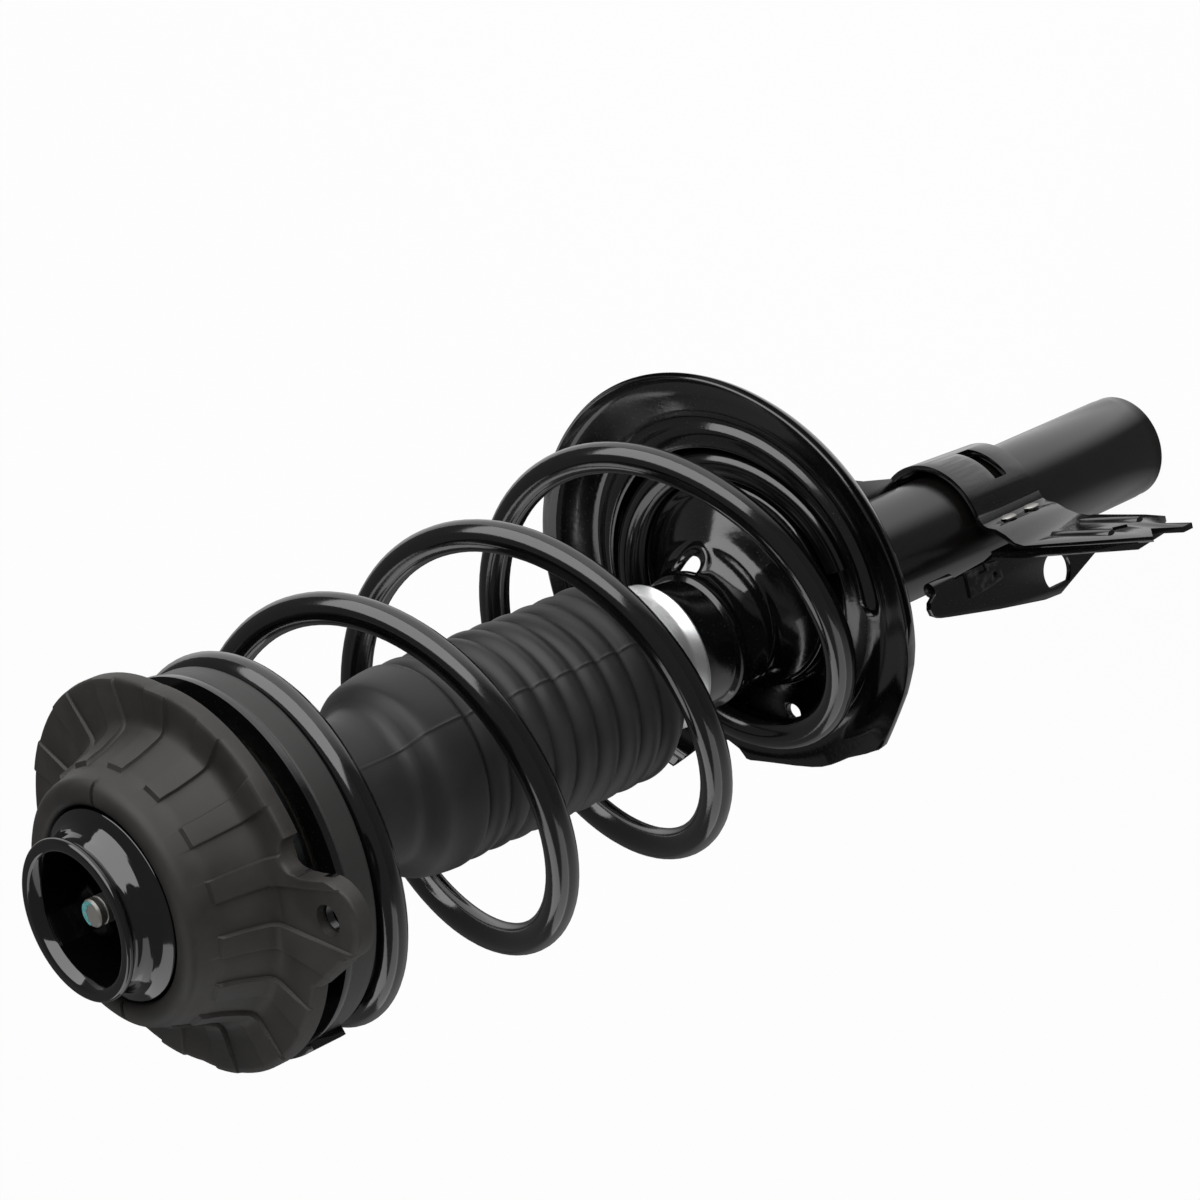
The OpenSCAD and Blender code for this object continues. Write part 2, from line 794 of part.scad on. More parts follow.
// Outer line of the boot from the bottom up, as [radius, height].
boot_line = concat(
    [[cap_r, boot_bottom], [cap_r, boot_bottom + 3], [boot_r - 3, boot_bottom + 8]],
    [for (i = [0 : boot_folds * fold_steps])
        [boot_r - boot_fold / 2 * cos(360 * i / fold_steps), folds_bottom + fold_pitch * i / fold_steps]],
    [[boot_r + 2.1, bulb_z], [boot_r + 1.9, bulb_z + 5], [boot_r + 0.8, bulb_z + 11],
     [boot_r - 1.4, bulb_z + 16], [boot_neck_r + 4.4, bulb_z + 21.5],
     [boot_neck_r + 1.4, bulb_z + 26], [boot_neck_r, bulb_z + 31],
     [boot_neck_r, boot_top]]);

module dust_boot() {
    color("#1b1b1c")
        rotate_extrude()
            polygon(concat(boot_line,
                [for (i = [len(boot_line) - 1 : -1 : 0]) boot_line[i] - [boot_wall, 0]]));
}

// ---------- top mount ----------

ear_y = -13;

// Plate of thickness t at height z: three wide lobes, the ear with its hole and the bite beside it.
module plate_shape(z, t) {
    bite_r = 7.2;
    difference() {
        union() {
            translate([0, 0, z]) cylinder(r = plate_r, h = t);
            translate([-12, 0, z]) cylinder(r = plate_r + 3, h = t);
            translate([2, -5, z]) cylinder(r = plate_r + 0.5, h = t);
            translate([ear_x, ear_y, z]) cylinder(r = ear_r, h = t);
            translate([0, 0, z]) linear_extrude(height = t)
                polygon([
                    [plate_r - 20, 6.5], [plate_r - 1, 4], [ear_x + 2.5, ear_y + ear_r - 1.2],
                    [ear_x + 8, ear_y - ear_r + 4.2], [ear_x, ear_y - ear_r - 1.8],
                    [plate_r - 4, ear_y - 28], [plate_r - 20, ear_y - 28]
                ]);
        }
        translate([plate_r + 1, 11.5, z - 1]) cylinder(r = bite_r, h = t + 2);
        translate([ear_x - 2, ear_y, z - 1]) cylinder(r = ear_hole_d / 2, h = t + 2);
    }
}

module mount_plate() {
    color("#2b2a28")
        difference() {
            plate_shape(mount_z, plate_t);
            translate([0, 0, mount_z - 1]) cylinder(r = cup_r, h = plate_t + 2);
        }
}

dome_z = skin_top;
dome_top = mount_z + dome_h;

// Outer line of the dome from foot to crest, lifted by d.
function dome_line(d) = [
    [dome_foot_r + 2 + d, dome_z],
    [dome_foot_r - 0.6 + d, dome_z + 4],
    [dome_foot_r - 2 + d, dome_z + 13],
    [mix(dome_foot_r, dome_top_r, 0.66) + d, dome_top - 8],
    [dome_top_r + d, dome_top - 3.4]
];

// Raised bars down the flank of the dome and out over the skin, cut to the plate.
module mount_bars() {
    first_rib = 4.6;
    intersection() {
        around(rib_count, first_rib - rib_angle / 2)
            rotate_extrude(angle = rib_angle)
                polygon([
                    [dome_foot_r - 8, skin_top - 1],
                    [mix(dome_foot_r, dome_top_r, 0.8), dome_top - 12],
                    [mix(dome_foot_r, dome_top_r, 0.6) + rib_h, dome_top - 13],
                    [dome_foot_r - 1.6 + rib_h, dome_z + 13],
                    [dome_foot_r + rib_h, dome_z + 5],
                    [dome_foot_r + 4 + rib_h, skin_top + rib_h],
                    [ear_x + ear_r, skin_top + rib_h * 0.6],
                    [ear_x + ear_r, skin_top - 1]
                ]);
        plate_shape(mount_top, dome_h);
    }
}

dome_foot = dome_foot_r + 2;

// The dome, bonded to the plate and to the cup, with a gap round the cup above the bond.
module mount_rubber() {
    bond_z = dome_z + 10;
    throat_r = dome_mouth_r;
    color("#2f2e2c")
        union() {
            rotate_extrude()
                polygon(concat(
                    [[cup_r, mount_top], [dome_foot, mount_top]], dome_line(0),
                    [
                        [dome_top_r - 2.4, dome_top - 0.8],
                        [dome_top_r - 7, dome_top],
                        [throat_r + 1.6, dome_top - 0.6],
                        [throat_r, dome_top - 2.4],
                        [throat_r - 1, bond_z + 4],
                        [throat_r - 4, bond_z],
                        [cup_r, bond_z]
                    ]));
            intersection() {
                mount_bars();
                translate([0, 0, mount_top]) cylinder(r = dome_foot, h = dome_h);
            }
        }
}

// The same moulding where it covers the plate outside the dome.
module mount_skin() {
    color("#2f2e2c")
        difference() {
            union() {
                plate_shape(mount_top, skin_t);
                mount_bars();
            }
            translate([0, 0, mount_top - 1]) cylinder(r = dome_foot, h = dome_h);
        }
}

module mount_cup() {
    lip_h = 3.4;
    neck_h = 4.4;
    neck_r = cup_r - 1;
    mouth_r = cup_rim_r - 4.5;
    color("#0d0e10")
        difference() {
            rotate_extrude()
                polygon([
                    [0, shoulder_z],
                    [cup_r - 4, shoulder_z], [cup_r - 4, mount_z], [cup_r, mount_z],
                    [cup_r, cup_top - lip_h - neck_h],
                    [neck_r, cup_top - lip_h - neck_h + 1.2],
                    [neck_r, cup_top - lip_h - 0.8],
                    [cup_rim_r - 0.6, cup_top - lip_h],
                    [cup_rim_r, cup_top - lip_h + 0.8],
                    [cup_rim_r, cup_top - 0.8],
                    [cup_rim_r - 0.8, cup_top],
                    [mouth_r, cup_top],
                    [cup_bore_r, cup_top - 4.6],
                    [cup_bore_r, cup_floor_z + 4],
                    [cup_bore_r - 4, cup_floor_z],
                    [0, cup_floor_z]
                ]);
            translate([0, 0, shoulder_z - 1]) cylinder(r = thread_r, h = floor_t + 2);
        }
}

// ---------- rod and what is on it ----------

washer_t = 3;
nut_h = 10;
nut_flats = 1.58;
rod_end_z = mount_z + rod_rise;
stem_z = piston_z - 8;

module piston_rod() {
    chamfer = 1.2;
    color("#b9bcbf")
        rotate_extrude()
            polygon([
                [0, stem_z], [thread_r - chamfer, stem_z], [thread_r, stem_z + chamfer],
                [thread_r, piston_z + piston_h], [rod_r, piston_z + piston_h],
                [rod_r, shoulder_z], [thread_r, shoulder_z],
                [thread_r, rod_end_z - chamfer], [thread_r - chamfer, rod_end_z], [0, rod_end_z]
            ]);
}

module nut_washer() {
    color("#9c9ea1") ring(thread_r + 8, thread_r, cup_floor_z, washer_t);
}

module rod_nut() {
    across = rod_thread_d * nut_flats;
    corner_r = across / sqrt(3);
    z = cup_floor_z + washer_t;
    color("#a5a7aa")
        difference() {
            intersection() {
                translate([0, 0, z]) cylinder(r = corner_r, h = nut_h, $fn = 6);
                translate([0, 0, z]) rotate_extrude()
                    polygon([[0, 0], [corner_r, 0], [corner_r, nut_h - 1.6], [corner_r - 2, nut_h], [0, nut_h]]);
            }
            translate([0, 0, z - 1]) cylinder(r = thread_r, h = nut_h + 2);
        }
}

band_h = 10;
band_t = 1.5;
piston_r = cylinder_bore_r - fit_gap;

module piston() {
    port_r = 1.7;
    port_ring_r = (thread_r + piston_r - band_t) / 2;
    color("#85878a")
        difference() {
            translate([0, 0, piston_z]) cylinder(r = piston_r - 0.2, h = piston_h);
            ring(piston_r + 1, piston_r - band_t, piston_z + (piston_h - band_h) / 2, band_h);
            translate([0, 0, piston_z - 1]) cylinder(r = thread_r, h = piston_h + 2);
            around(6)
                translate([port_ring_r, 0, piston_z - 1]) cylinder(r = port_r, h = piston_h + 2);
        }
}

module piston_band() {
    color("#4c4a40")
        ring(piston_r, piston_r - band_t, piston_z + (piston_h - band_h) / 2, band_h);
}

module rebound_stop() {
    color("#3b3b3d") ring(cylinder_bore_r - 0.6, rod_r, rebound_z, rebound_h);
}

module bump_stop() {
    bump_r = bump_d / 2;
    bore_r = rod_r;
    waist_r = bump_r - bump_waist;
    seat_r_top = spigot_r - spigot_wall - 1;
    h = shoulder_z - bump_z;
    color("#c8b98a")
        rotate_extrude()
            polygon([
                [bore_r, bump_z], [bump_r - 7, bump_z], [bump_r - 4, bump_z + 6],
                [bump_r - 4.4, bump_z + h * 0.14], [waist_r - 3, bump_z + h * 0.2],
                [bump_r - 1.4, bump_z + h * 0.3], [bump_r - 1.4, bump_z + h * 0.38],
                [waist_r, bump_z + h * 0.46],
                [bump_r, bump_z + h * 0.55], [bump_r, bump_z + h * 0.62],
                [min(bump_r, seat_r_top), bump_z + h * 0.66],
                [min(bump_r, seat_r_top), shoulder_z],
                [bore_r, shoulder_z]
            ]);
}

damper_tube();
tube_base_cap();
inner_cylinder();
base_valve();
rod_guide();
rod_seal();
striker_cap();
lower_spring_seat();
clamp_bracket();
link_plate();
bracket_clip();
rear_tab();
coil_spring();
upper_spring_seat();
spring_isolator();
bearing_lower_race();
bearing_cage();
bearing_balls();
dust_boot();
bearing_upper_race();
mount_plate();
mount_rubber();
mount_skin();
mount_cup();
rod_nut();
nut_washer();
piston_rod();
piston();
piston_band();
rebound_stop();
bump_stop();
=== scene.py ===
"""Dresses a packed suspension strut: coil, dust boot, top mount, spring seat, brackets, finishes, stage.

Laid out as an add-on and run as a script. Metres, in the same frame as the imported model: the damper
tube stands along Z with its closed end at Z = 0. Profiles are (radius, height) pairs.
"""

import math

import bmesh
import bpy
from bpy.props import FloatProperty, FloatVectorProperty, IntProperty, PointerProperty
from mathutils import Matrix, Vector
from mathutils.bvhtree import BVHTree


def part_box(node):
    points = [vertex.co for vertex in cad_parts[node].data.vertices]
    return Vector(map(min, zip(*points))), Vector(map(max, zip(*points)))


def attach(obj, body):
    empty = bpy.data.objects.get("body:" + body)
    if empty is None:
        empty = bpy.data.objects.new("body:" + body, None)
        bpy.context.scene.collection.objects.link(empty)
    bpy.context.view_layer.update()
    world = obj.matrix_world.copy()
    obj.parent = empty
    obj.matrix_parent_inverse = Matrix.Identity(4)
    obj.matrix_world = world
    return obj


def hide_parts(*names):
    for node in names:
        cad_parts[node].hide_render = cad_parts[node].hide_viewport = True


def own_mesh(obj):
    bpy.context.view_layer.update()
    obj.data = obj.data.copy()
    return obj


bl_info = {
    "name": "Suspension strut",
    "version": (1, 0, 0),
    "blender": (4, 5, 0),
    "location": "3D View > Sidebar > Strut",
    "description": "Coil spring, dust boot, top mount, spring seat and brackets around the packed strut",
    "category": "Object",
}

MM = 0.001
ON_AXIS = 1e-7
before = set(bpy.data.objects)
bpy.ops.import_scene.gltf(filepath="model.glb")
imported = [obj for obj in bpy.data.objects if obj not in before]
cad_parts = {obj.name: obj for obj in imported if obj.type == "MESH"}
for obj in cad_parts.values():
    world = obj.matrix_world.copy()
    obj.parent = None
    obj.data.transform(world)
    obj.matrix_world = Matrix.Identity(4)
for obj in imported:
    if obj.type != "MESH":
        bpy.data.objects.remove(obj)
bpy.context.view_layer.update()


def top_of(node):
    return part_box(node)[1].z


def foot_of(node):
    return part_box(node)[0].z


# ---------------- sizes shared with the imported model

SEAT_CENTRE = Vector((-3.2, 13.0, 271.2)) * MM
SEAT_TILT = (math.radians(4.4), math.radians(4.7))
CAP_TOP, COLLAR_TOP = top_of("striker_cap"), foot_of("striker_cap")
# the face of the isolator that the top coil bears on
COIL_TOP = top_of("spring_isolator") - 13.5 * MM


# ---------------- properties


def linear(hexa):
    """sRGB hex to linear RGBA."""
    parts = [int(hexa[i : i + 2], 16) / 255 for i in (1, 3, 5)]
    return tuple(p / 12.92 if p <= 0.04045 else ((p + 0.055) / 1.055) ** 2.4 for p in parts) + (1.0,)


def length(name, text, default):
    """A size that the user gives in millimetres here, and Blender keeps in metres."""
    return FloatProperty(
        name=name, description=text, default=default * MM, min=0, max=1, unit="LENGTH", precision=5
    )


def shade(name, text, hexa):
    return FloatVectorProperty(
        name=name, description=text, default=linear(hexa), size=4, min=0, max=1, subtype="COLOR"
    )


class StrutSpringProps(bpy.types.PropertyGroup):
    wire_radius: length("Wire radius", "Half the wire diameter", 6.75)
    top_radius: length("Top coil radius", "Mean radius of the top coil", 73.6)
    middle_radius: length("Middle coil radius", "Mean radius of the middle coils", 81)
    pigtail_radius: length("Pigtail radius", "Mean radius of the lower end turn", 57)
    turns: FloatProperty(name="Turns", description="Turns from end to end", default=4.75, min=1, max=9)
    sides: IntProperty(name="Sides", description="Sides round the wire", default=28, min=8, max=64)
    per_turn: IntProperty(name="Rings a turn", description="Rings in one turn", default=96, min=24, max=200)


class StrutBootProps(bpy.types.PropertyGroup):
    neck_radius: length("Neck radius", "Outside radius of the smooth neck", 32)
    fold_radius: length("Fold radius", "Mean outside radius of the folds", 42.2)
    fold_depth: length("Fold depth", "Depth of one fold", 3.6)
    folds: IntProperty(name="Folds", description="Number of folds", default=9, min=4, max=20)
    wall: length("Wall", "Wall of the moulding", 2)


class StrutMountProps(bpy.types.PropertyGroup):
    ribs: IntProperty(name="Ribs", description="Raised bars round the dome", default=15, min=6, max=24)
    rib_angle: FloatProperty(
        name="Rib angle", description="Angle across one bar", default=math.radians(9.6), subtype="ANGLE"
    )
    rib_height: length("Rib height", "How far a bar stands up", 1.7)
    thread_pitch: length("Thread pitch", "Pitch of the rod thread", 1.25)


class StrutSeatProps(bpy.types.PropertyGroup):
    rim_radius: length("Rim radius", "Radius of the rolled rim", 101.6)
    sheet: length("Sheet", "Thickness of the pressing", 3)
    groove_radius: length("Groove radius", "Mean radius of the spring groove", 57)
    groove_depth: length("Groove depth", "Depth of the groove floor", 23)
    track_depth: length("Track depth", "Depth of the track beside the groove", 8.5)
    drain_radius: length("Drain radius", "Radius of the drain hole", 4)


class StrutLookProps(bpy.types.PropertyGroup):
    enamel: shade("Enamel", "Black enamel of seats and brackets", "#060607")
    coil: shade("Coil", "Black powder coat of the spring", "#060607")
    boot: shade("Boot", "Moulded rubber of the dust boot", "#201f1f")
    dome: shade("Dome", "Moulded rubber of the top mount", "#252321")
    isolator: shade("Isolator", "Rubber between spring and seat", "#242423")
    zinc: shade("Zinc", "Bright zinc plate", "#f0f0f0")
    paint_mark: shade("Paint mark", "Paint dab on the rod end", "#4fa3a5")
    floor: shade("Floor", "Floor of the stage", "#f2f2f2")


class StrutProps(bpy.types.PropertyGroup):
    spring: PointerProperty(type=StrutSpringProps)
    boot: PointerProperty(type=StrutBootProps)
    mount: PointerProperty(type=StrutMountProps)
    seat: PointerProperty(type=StrutSeatProps)
    look: PointerProperty(type=StrutLookProps)


def settings():
    return bpy.context.scene.strut


# ---------------- curves of the shapes


def mix(a, b, k):
    return a + (b - a) * k


def clamp01(x):
    return max(0.0, min(1.0, x))


def ease(x):
    """Goes from 0 to 1 with a level start and end."""
    k = clamp01(x)
    return k * k * (3 - 2 * k)


def ramp(x, w):
    """Rises from 0 to a slope of 1 over the blend width w."""
    return 0.0 if x < -w / 2 else x if x > w / 2 else (x + w / 2) ** 2 / (2 * w)


def bell(x, width):
    return math.exp(-((x / width) ** 2))


def around(steps):
    """(angle, cosine, sine) of even steps round the axis."""
    angles = [2 * math.pi * k / steps for k in range(steps)]
    return [(a, math.cos(a), math.sin(a)) for a in angles]


def apart(a, b):
    """The angle between two directions, the shorter way round."""
    return abs((a - b + math.pi) % (2 * math.pi) - math.pi)


def metres(profile, z=0.0):
    """A profile in millimetres, set on a height that is in metres."""
    return [(r * MM, z + h * MM) for r, h in profile]


def rounded(profile, radius, steps=4):
    """Rounds the corners of a closed outline; points on the axis and nearly straight corners stay."""
    out, count = [], len(profile)
    for i, point in enumerate(profile):
        p = Vector(point)
        before, after = Vector(profile[i - 1]) - p, Vector(profile[(i + 1) % count]) - p
        short = min(before.length, after.length)
        if p.x < ON_AXIS or short < 1e-9 or before.angle(after) > math.radians(170):
            out.append(tuple(p))
            continue
        reach = min(radius, short * 0.45)
        a, b = p + before.normalized() * reach, p + after.normalized() * reach
        for s in range(steps + 1):
            k = s / steps
            out.append(tuple(a * (1 - k) ** 2 + p * 2 * k * (1 - k) + b * k**2))
    return out


# ---------------- meshes


def grid_faces(rows, columns, wrap_rows=False):
    """Quads of a grid of points stored row by row, closed round its columns."""
    faces = []
    for i in range(rows if wrap_rows else rows - 1):
        low, high = i * columns, (i + 1) % rows * columns
        for k in range(columns):
            j = (k + 1) % columns
            faces.append((low + k, low + j, high + j, high + k))
    return faces


def lathe(profile, steps):
    """Points and faces of a closed turning; a point on the axis becomes a pole."""
    points, faces, rings = [], [], []
    for r, z in profile:
        if r < ON_AXIS:
            rings.append([len(points)] * steps)
            points.append((0.0, 0.0, z))
        else:
            rings.append(list(range(len(points), len(points) + steps)))
            points += [(r * c, r * s, z) for _, c, s in around(steps)]
    closed = profile[0][0] > ON_AXIS
    for i in range(len(rings) if closed else len(rings) - 1):
        a, b = rings[i], rings[(i + 1) % len(rings)]
        for k in range(steps):
            j = (k + 1) % steps
            corners = list(dict.fromkeys((a[k], a[j], b[j], b[k])))
            if len(corners) > 2:
                faces.append(corners)
    return points, faces


def linked(name, mesh):
    piece = bpy.data.objects.new(name, mesh)
    bpy.context.scene.collection.objects.link(piece)
    return piece


def mend(mesh, reach):
    """Merges doubled points, and turns the faces outwards."""
    work = bmesh.new()
    work.from_mesh(mesh)
    bmesh.ops.remove_doubles(work, verts=work.verts, dist=reach)
    bmesh.ops.recalc_face_normals(work, faces=work.faces)
    work.to_mesh(mesh)
    work.free()


def soften(piece, sharp):
    """Smooth everywhere but across edges sharper than the angle in degrees."""
    piece.data.polygons.foreach_set("use_smooth", [True] * len(piece.data.polygons))
    piece.data.set_sharp_from_angle(angle=math.radians(sharp))


def shape(name, points, faces, sharp=38):
    """A mesh object with outward faces, smooth except across sharp edges."""
    mesh = bpy.data.meshes.new(name)
    mesh.from_pydata([tuple(p) for p in points], [], faces)
    mesh.validate()
    mend(mesh, 1e-6)
    piece = linked(name, mesh)
    soften(piece, sharp)
    return piece


def apply_modifiers(piece):
    """Bakes the live modifiers into the mesh, and removes them."""
    graph = bpy.context.evaluated_depsgraph_get()
    made = bpy.data.meshes.new_from_object(piece.evaluated_get(graph))
    old = piece.data
    piece.modifiers.clear()
    piece.data = made
    made.name = piece.name
    if old.users == 0:
        bpy.data.meshes.remove(old)


def cut(piece, cutter):
    """Takes the cutter's shape out of the piece, and removes the cutter."""
    knife = piece.modifiers.new("cut", "BOOLEAN")
    knife.operation = "DIFFERENCE"
    knife.solver = "EXACT"
    knife.object = cutter
    apply_modifiers(piece)
    mesh = cutter.data
    bpy.data.objects.remove(cutter)
    bpy.data.meshes.remove(mesh)


def drill(piece, at, radius, low, high, steps=48):
    """Cuts a round upright hole from low to high, both measured from the point at."""
    points, faces = lathe([(0, low), (radius, low), (radius, high), (0, high)], steps)
    cut(piece, shape("drill", [Vector(p) + at for p in points], faces))


def break_edges(piece, width, segments, sharp):
    """Rounds the edges that are sharper than the angle in degrees."""
    bevel = piece.modifiers.new("edge break", "BEVEL")
    bevel.width, bevel.segments = width, segments
    bevel.limit_method, bevel.angle_limit = "ANGLE", math.radians(sharp)
    apply_modifiers(piece)


def eased_copy(node, name, width_mm, segments=2, sharp=32):
    """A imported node's shape with flat faces made whole and its sharp edges broken by a small round."""
    work = bmesh.new()
    work.from_mesh(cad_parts[node].data)
    bmesh.ops.remove_doubles(work, verts=work.verts, dist=2e-6)
    bmesh.ops.dissolve_limit(
        work, angle_limit=math.radians(0.4), verts=work.verts, edges=work.edges, delimit={"NORMAL"}
    )
    mesh = bpy.data.meshes.new(name)
    work.to_mesh(mesh)
    work.free()
    piece = linked(name, mesh)
    break_edges(piece, width_mm * MM, segments, sharp)
    soften(piece, sharp)
    return piece


def dress(piece, body, slot, key, *nodes):
    """Gives a finished piece its finish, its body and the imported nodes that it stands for."""
    piece.data.materials.clear()
    piece.data.materials.append(material_for(key))
    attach(piece, body)
    if nodes:
        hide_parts(*nodes)


def shorten_with_rod(piece):
    """Gives the piece a mesh of its own."""
    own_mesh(piece)


# ---------------- node trees


def add(tree, kind, feeds=None, **settings_of):
    """Adds one node with its settings, and feeds its live inputs, by name or place.

    A feed is a value, a socket, or a node that gives its first live output.
    """
    node = tree.nodes.new(kind)
    for key, value in settings_of.items():
        setattr(node, key, value)
    live = [socket for socket in node.inputs if socket.enabled]
    for key, value in (feeds or {}).items():
        socket = live[key] if isinstance(key, int) else next(s for s in live if s.name == key)
        if isinstance(value, bpy.types.Node):
            value = next(s for s in value.outputs if s.enabled)
        if isinstance(value, bpy.types.NodeSocket):
            tree.links.new(value, socket)
        else:
            socket.default_value = value
    return node


def sweep_tree(material):
    """Sweeps a round section along the input edges, with named inputs for its sizes."""
    tree = bpy.data.node_groups.new("round_sweep", "GeometryNodeTree")
    sizes = ("Geometry", "Geometry"), ("Section radius", "Float"), ("Sides", "Int")
    for label, kind in sizes:
        tree.interface.new_socket(label, in_out="INPUT", socket_type="NodeSocket" + kind)
    tree.interface.new_socket("Geometry", in_out="OUTPUT", socket_type="NodeSocketGeometry")
    given = add(tree, "NodeGroupInput").outputs
    path = add(tree, "GeometryNodeMeshToCurve", {"Mesh": given["Geometry"]})
    round_of = {"Radius": given["Section radius"], "Resolution": given["Sides"]}
    section = add(tree, "GeometryNodeCurvePrimitiveCircle", round_of)
    sweep = {"Curve": path, "Profile Curve": section, "Fill Caps": True}
    swept = add(tree, "GeometryNodeCurveToMesh", sweep)
    smooth = add(tree, "GeometryNodeSetShadeSmooth", {"Geometry": swept})
    real = add(tree, "GeometryNodeRealizeInstances", {"Geometry": smooth})
    painted = add(tree, "GeometryNodeSetMaterial", {"Geometry": real, "Material": material})
    add(tree, "NodeGroupOutput", {"Geometry": painted})
    return tree


def swept_bar(name, points, key, radius, sides):
    """A round bar along the points: the sweep is run on their line, and its result kept as a plain mesh."""
    mesh = bpy.data.meshes.new(name + "_line")
    mesh.from_pydata(points, [(i, i + 1) for i in range(len(points) - 1)], [])
    piece = linked(name, mesh)
    modifier = piece.modifiers.new(name, "NODES")
    modifier.node_group = sweep_tree(material_for(key))
    sizes = {"Section radius": radius, "Sides": sides}
    for item in modifier.node_group.interface.items_tree:
        if item.in_out == "INPUT" and item.name in sizes:
            modifier[item.identifier] = sizes[item.name]
    apply_modifiers(piece)
    mend(piece.data, 1e-7)
    soften(piece, 50)
    return piece


def finish(tree, tones, gloss, relief, **constant):
    """Ends a material in one Principled shader.

    tones: share, two colours; a share may be a source and the two values it runs between.
    gloss: source, the two values it runs between, and the two roughnesses they give.
    relief: height, its depth in millimetres. Constant values go on the shader's own sockets.
    """
    spans = ("Value", "From Min", "From Max", "To Min", "To Max")
    share, *colours = tones
    if isinstance(share, tuple):
        share = add(tree, "ShaderNodeMapRange", dict(zip(spans, share)))
    a, b = (linear(tone) if isinstance(tone, str) else tone for tone in colours)
    colour = add(tree, "ShaderNodeMix", {"Factor": share, "A": a, "B": b}, data_type="RGBA")
    rough = add(tree, "ShaderNodeMapRange", dict(zip(spans, gloss)))
    bump = add(tree, "ShaderNodeBump", {"Height": relief[0], "Distance": relief[1] * MM, "Strength": 1.0})
    feeds = {"Base Color": colour, "Roughness": rough, "Normal": bump}
    shader = add(tree, "ShaderNodeBsdfPrincipled", feeds)
    for key, value in constant.items():
        shader.inputs[key.replace("_", " ")].default_value = value
    add(tree, "ShaderNodeOutputMaterial", {"Surface": shader})


# ---------------- finishes
# Each function is given the node tree and what its row in FINISHES names.

COAT = {"Specular_IOR_Level": 1.0, "IOR": 1.5}


def lines_over(tree, at, run, per_mm):
    """Lines from a tool or a die: one random value for each height (0, 0, 1) or each radius (1, 1, 0)."""
    kept = add(tree, "ShaderNodeVectorMath", {0: at, 1: run}, operation="MULTIPLY")
    along = add(tree, "ShaderNodeVectorMath", {0: kept}, operation="LENGTH")
    return add(tree, "ShaderNodeTexNoise", {"W": along, "Scale": per_mm}, noise_dimensions="1D")


def dipped_enamel(tree, cloud, peel, grains):
    """Electrocoated and dipped enamel on steel: deep black gloss, slow orange peel and a little dust."""
    dust = add(tree, "ShaderNodeMapRange", {"Value": grains, "From Min": 0.79, "From Max": 0.83})
    thin = add(tree, "ShaderNodeMapRange", {"Value": cloud, "From Min": 0.35, "From Max": 0.7})
    tones = {"Factor": thin, "A": settings().look.enamel, "B": linear("#0b0b0c")}
    clean = add(tree, "ShaderNodeMix", tones, data_type="RGBA")
    levels = {"Value": cloud, "From Min": 0.3, "From Max": 0.7, "To Min": 0.08, "To Max": 0.15}
    gloss = add(tree, "ShaderNodeMapRange", levels)
    dusty = add(tree, "ShaderNodeMath", {0: dust, 1: 0.3, 2: gloss}, operation="MULTIPLY_ADD")
    finish(tree, (dust, clean, "#2c2c2d"), (dusty, 0, 1, 0, 1), (peel, 0.02), **COAT)


def cup_enamel(tree, ripple, cloud):
    """Deep-drawn steel cup, spray enamelled: a thicker, wetter black with long soft ripples."""
    finish(tree, (ripple, "#040404", "#080808"), (cloud, 0.3, 0.7, 0.05, 0.1), (ripple, 0.015), **COAT)


def spring_powder_coat(tree, peel, cloud):
    """Shot-peened spring steel, powder coated: even black gloss with a fine peened orange peel."""
    tones = (cloud, settings().look.coil, "#0b0b0c")
    finish(tree, tones, (cloud, 0.3, 0.7, 0.09, 0.15), (peel, 0.01), **COAT)


def tube_paint(tree, cloud, grain):
    """Drawn tube, sprayed after welding: black satin with a faint warm cast and a fine overspray grain."""
    finish(tree, (cloud, "#0b0a09", "#11100f"), (cloud, 0.3, 0.7, 0.2, 0.28), (grain, 0.006), **COAT)


def clip_steel(tree, patches):
    """Thin pressed steel under worn enamel: black with grey rubbed patches."""
    worn = add(tree, "ShaderNodeMapRange", {"Value": patches, "From Min": 0.5, "From Max": 0.62})
    finish(tree, (worn, "#101011", "#262627"), (worn, 0, 1, 0.28, 0.42), (worn, 0.01), IOR=1.5)


def boot_rubber(tree, flow, grain):
    """Injection moulded EPDM: matt charcoal with a soft sheen on the folds and faint flow clouds."""
    tones = ((flow, 0.3, 0.7), settings().look.boot, "#282727")
    finish(tree, tones, (flow, 0.3, 0.7, 0.44, 0.54), (grain, 0.012), IOR=1.5)


def dome_rubber(tree, bloom, grain):
    """Compression moulded natural rubber: warm dark grey, dull, with a brownish bloom where it has cured."""
    tones = ((bloom, 0.35, 0.7), settings().look.dome, "#33302d")
    finish(tree, tones, (bloom, 0.35, 0.7, 0.5, 0.64), (grain, 0.02), IOR=1.5)


def isolator_rubber(tree, at, cloud):
    """Extruded and jointed rubber strip: satin grey with fine lines round it from the die, 0.6 mm apart."""
    lines = lines_over(tree, at, (0, 0, 1), 1.6)
    tones = (cloud, settings().look.isolator, "#2f2e2d")
    finish(tree, tones, (lines, 0.3, 0.7, 0.4, 0.5), (lines, 0.03), IOR=1.5)


def seal_rubber(tree, grain):
    """Moulded nitrile rubber: black satin with a very fine mould grain."""
    finish(tree, (grain, "#0e0e0f", "#1a1a1b"), (grain, 0.3, 0.7, 0.4, 0.52), (grain, 0.01), IOR=1.5)


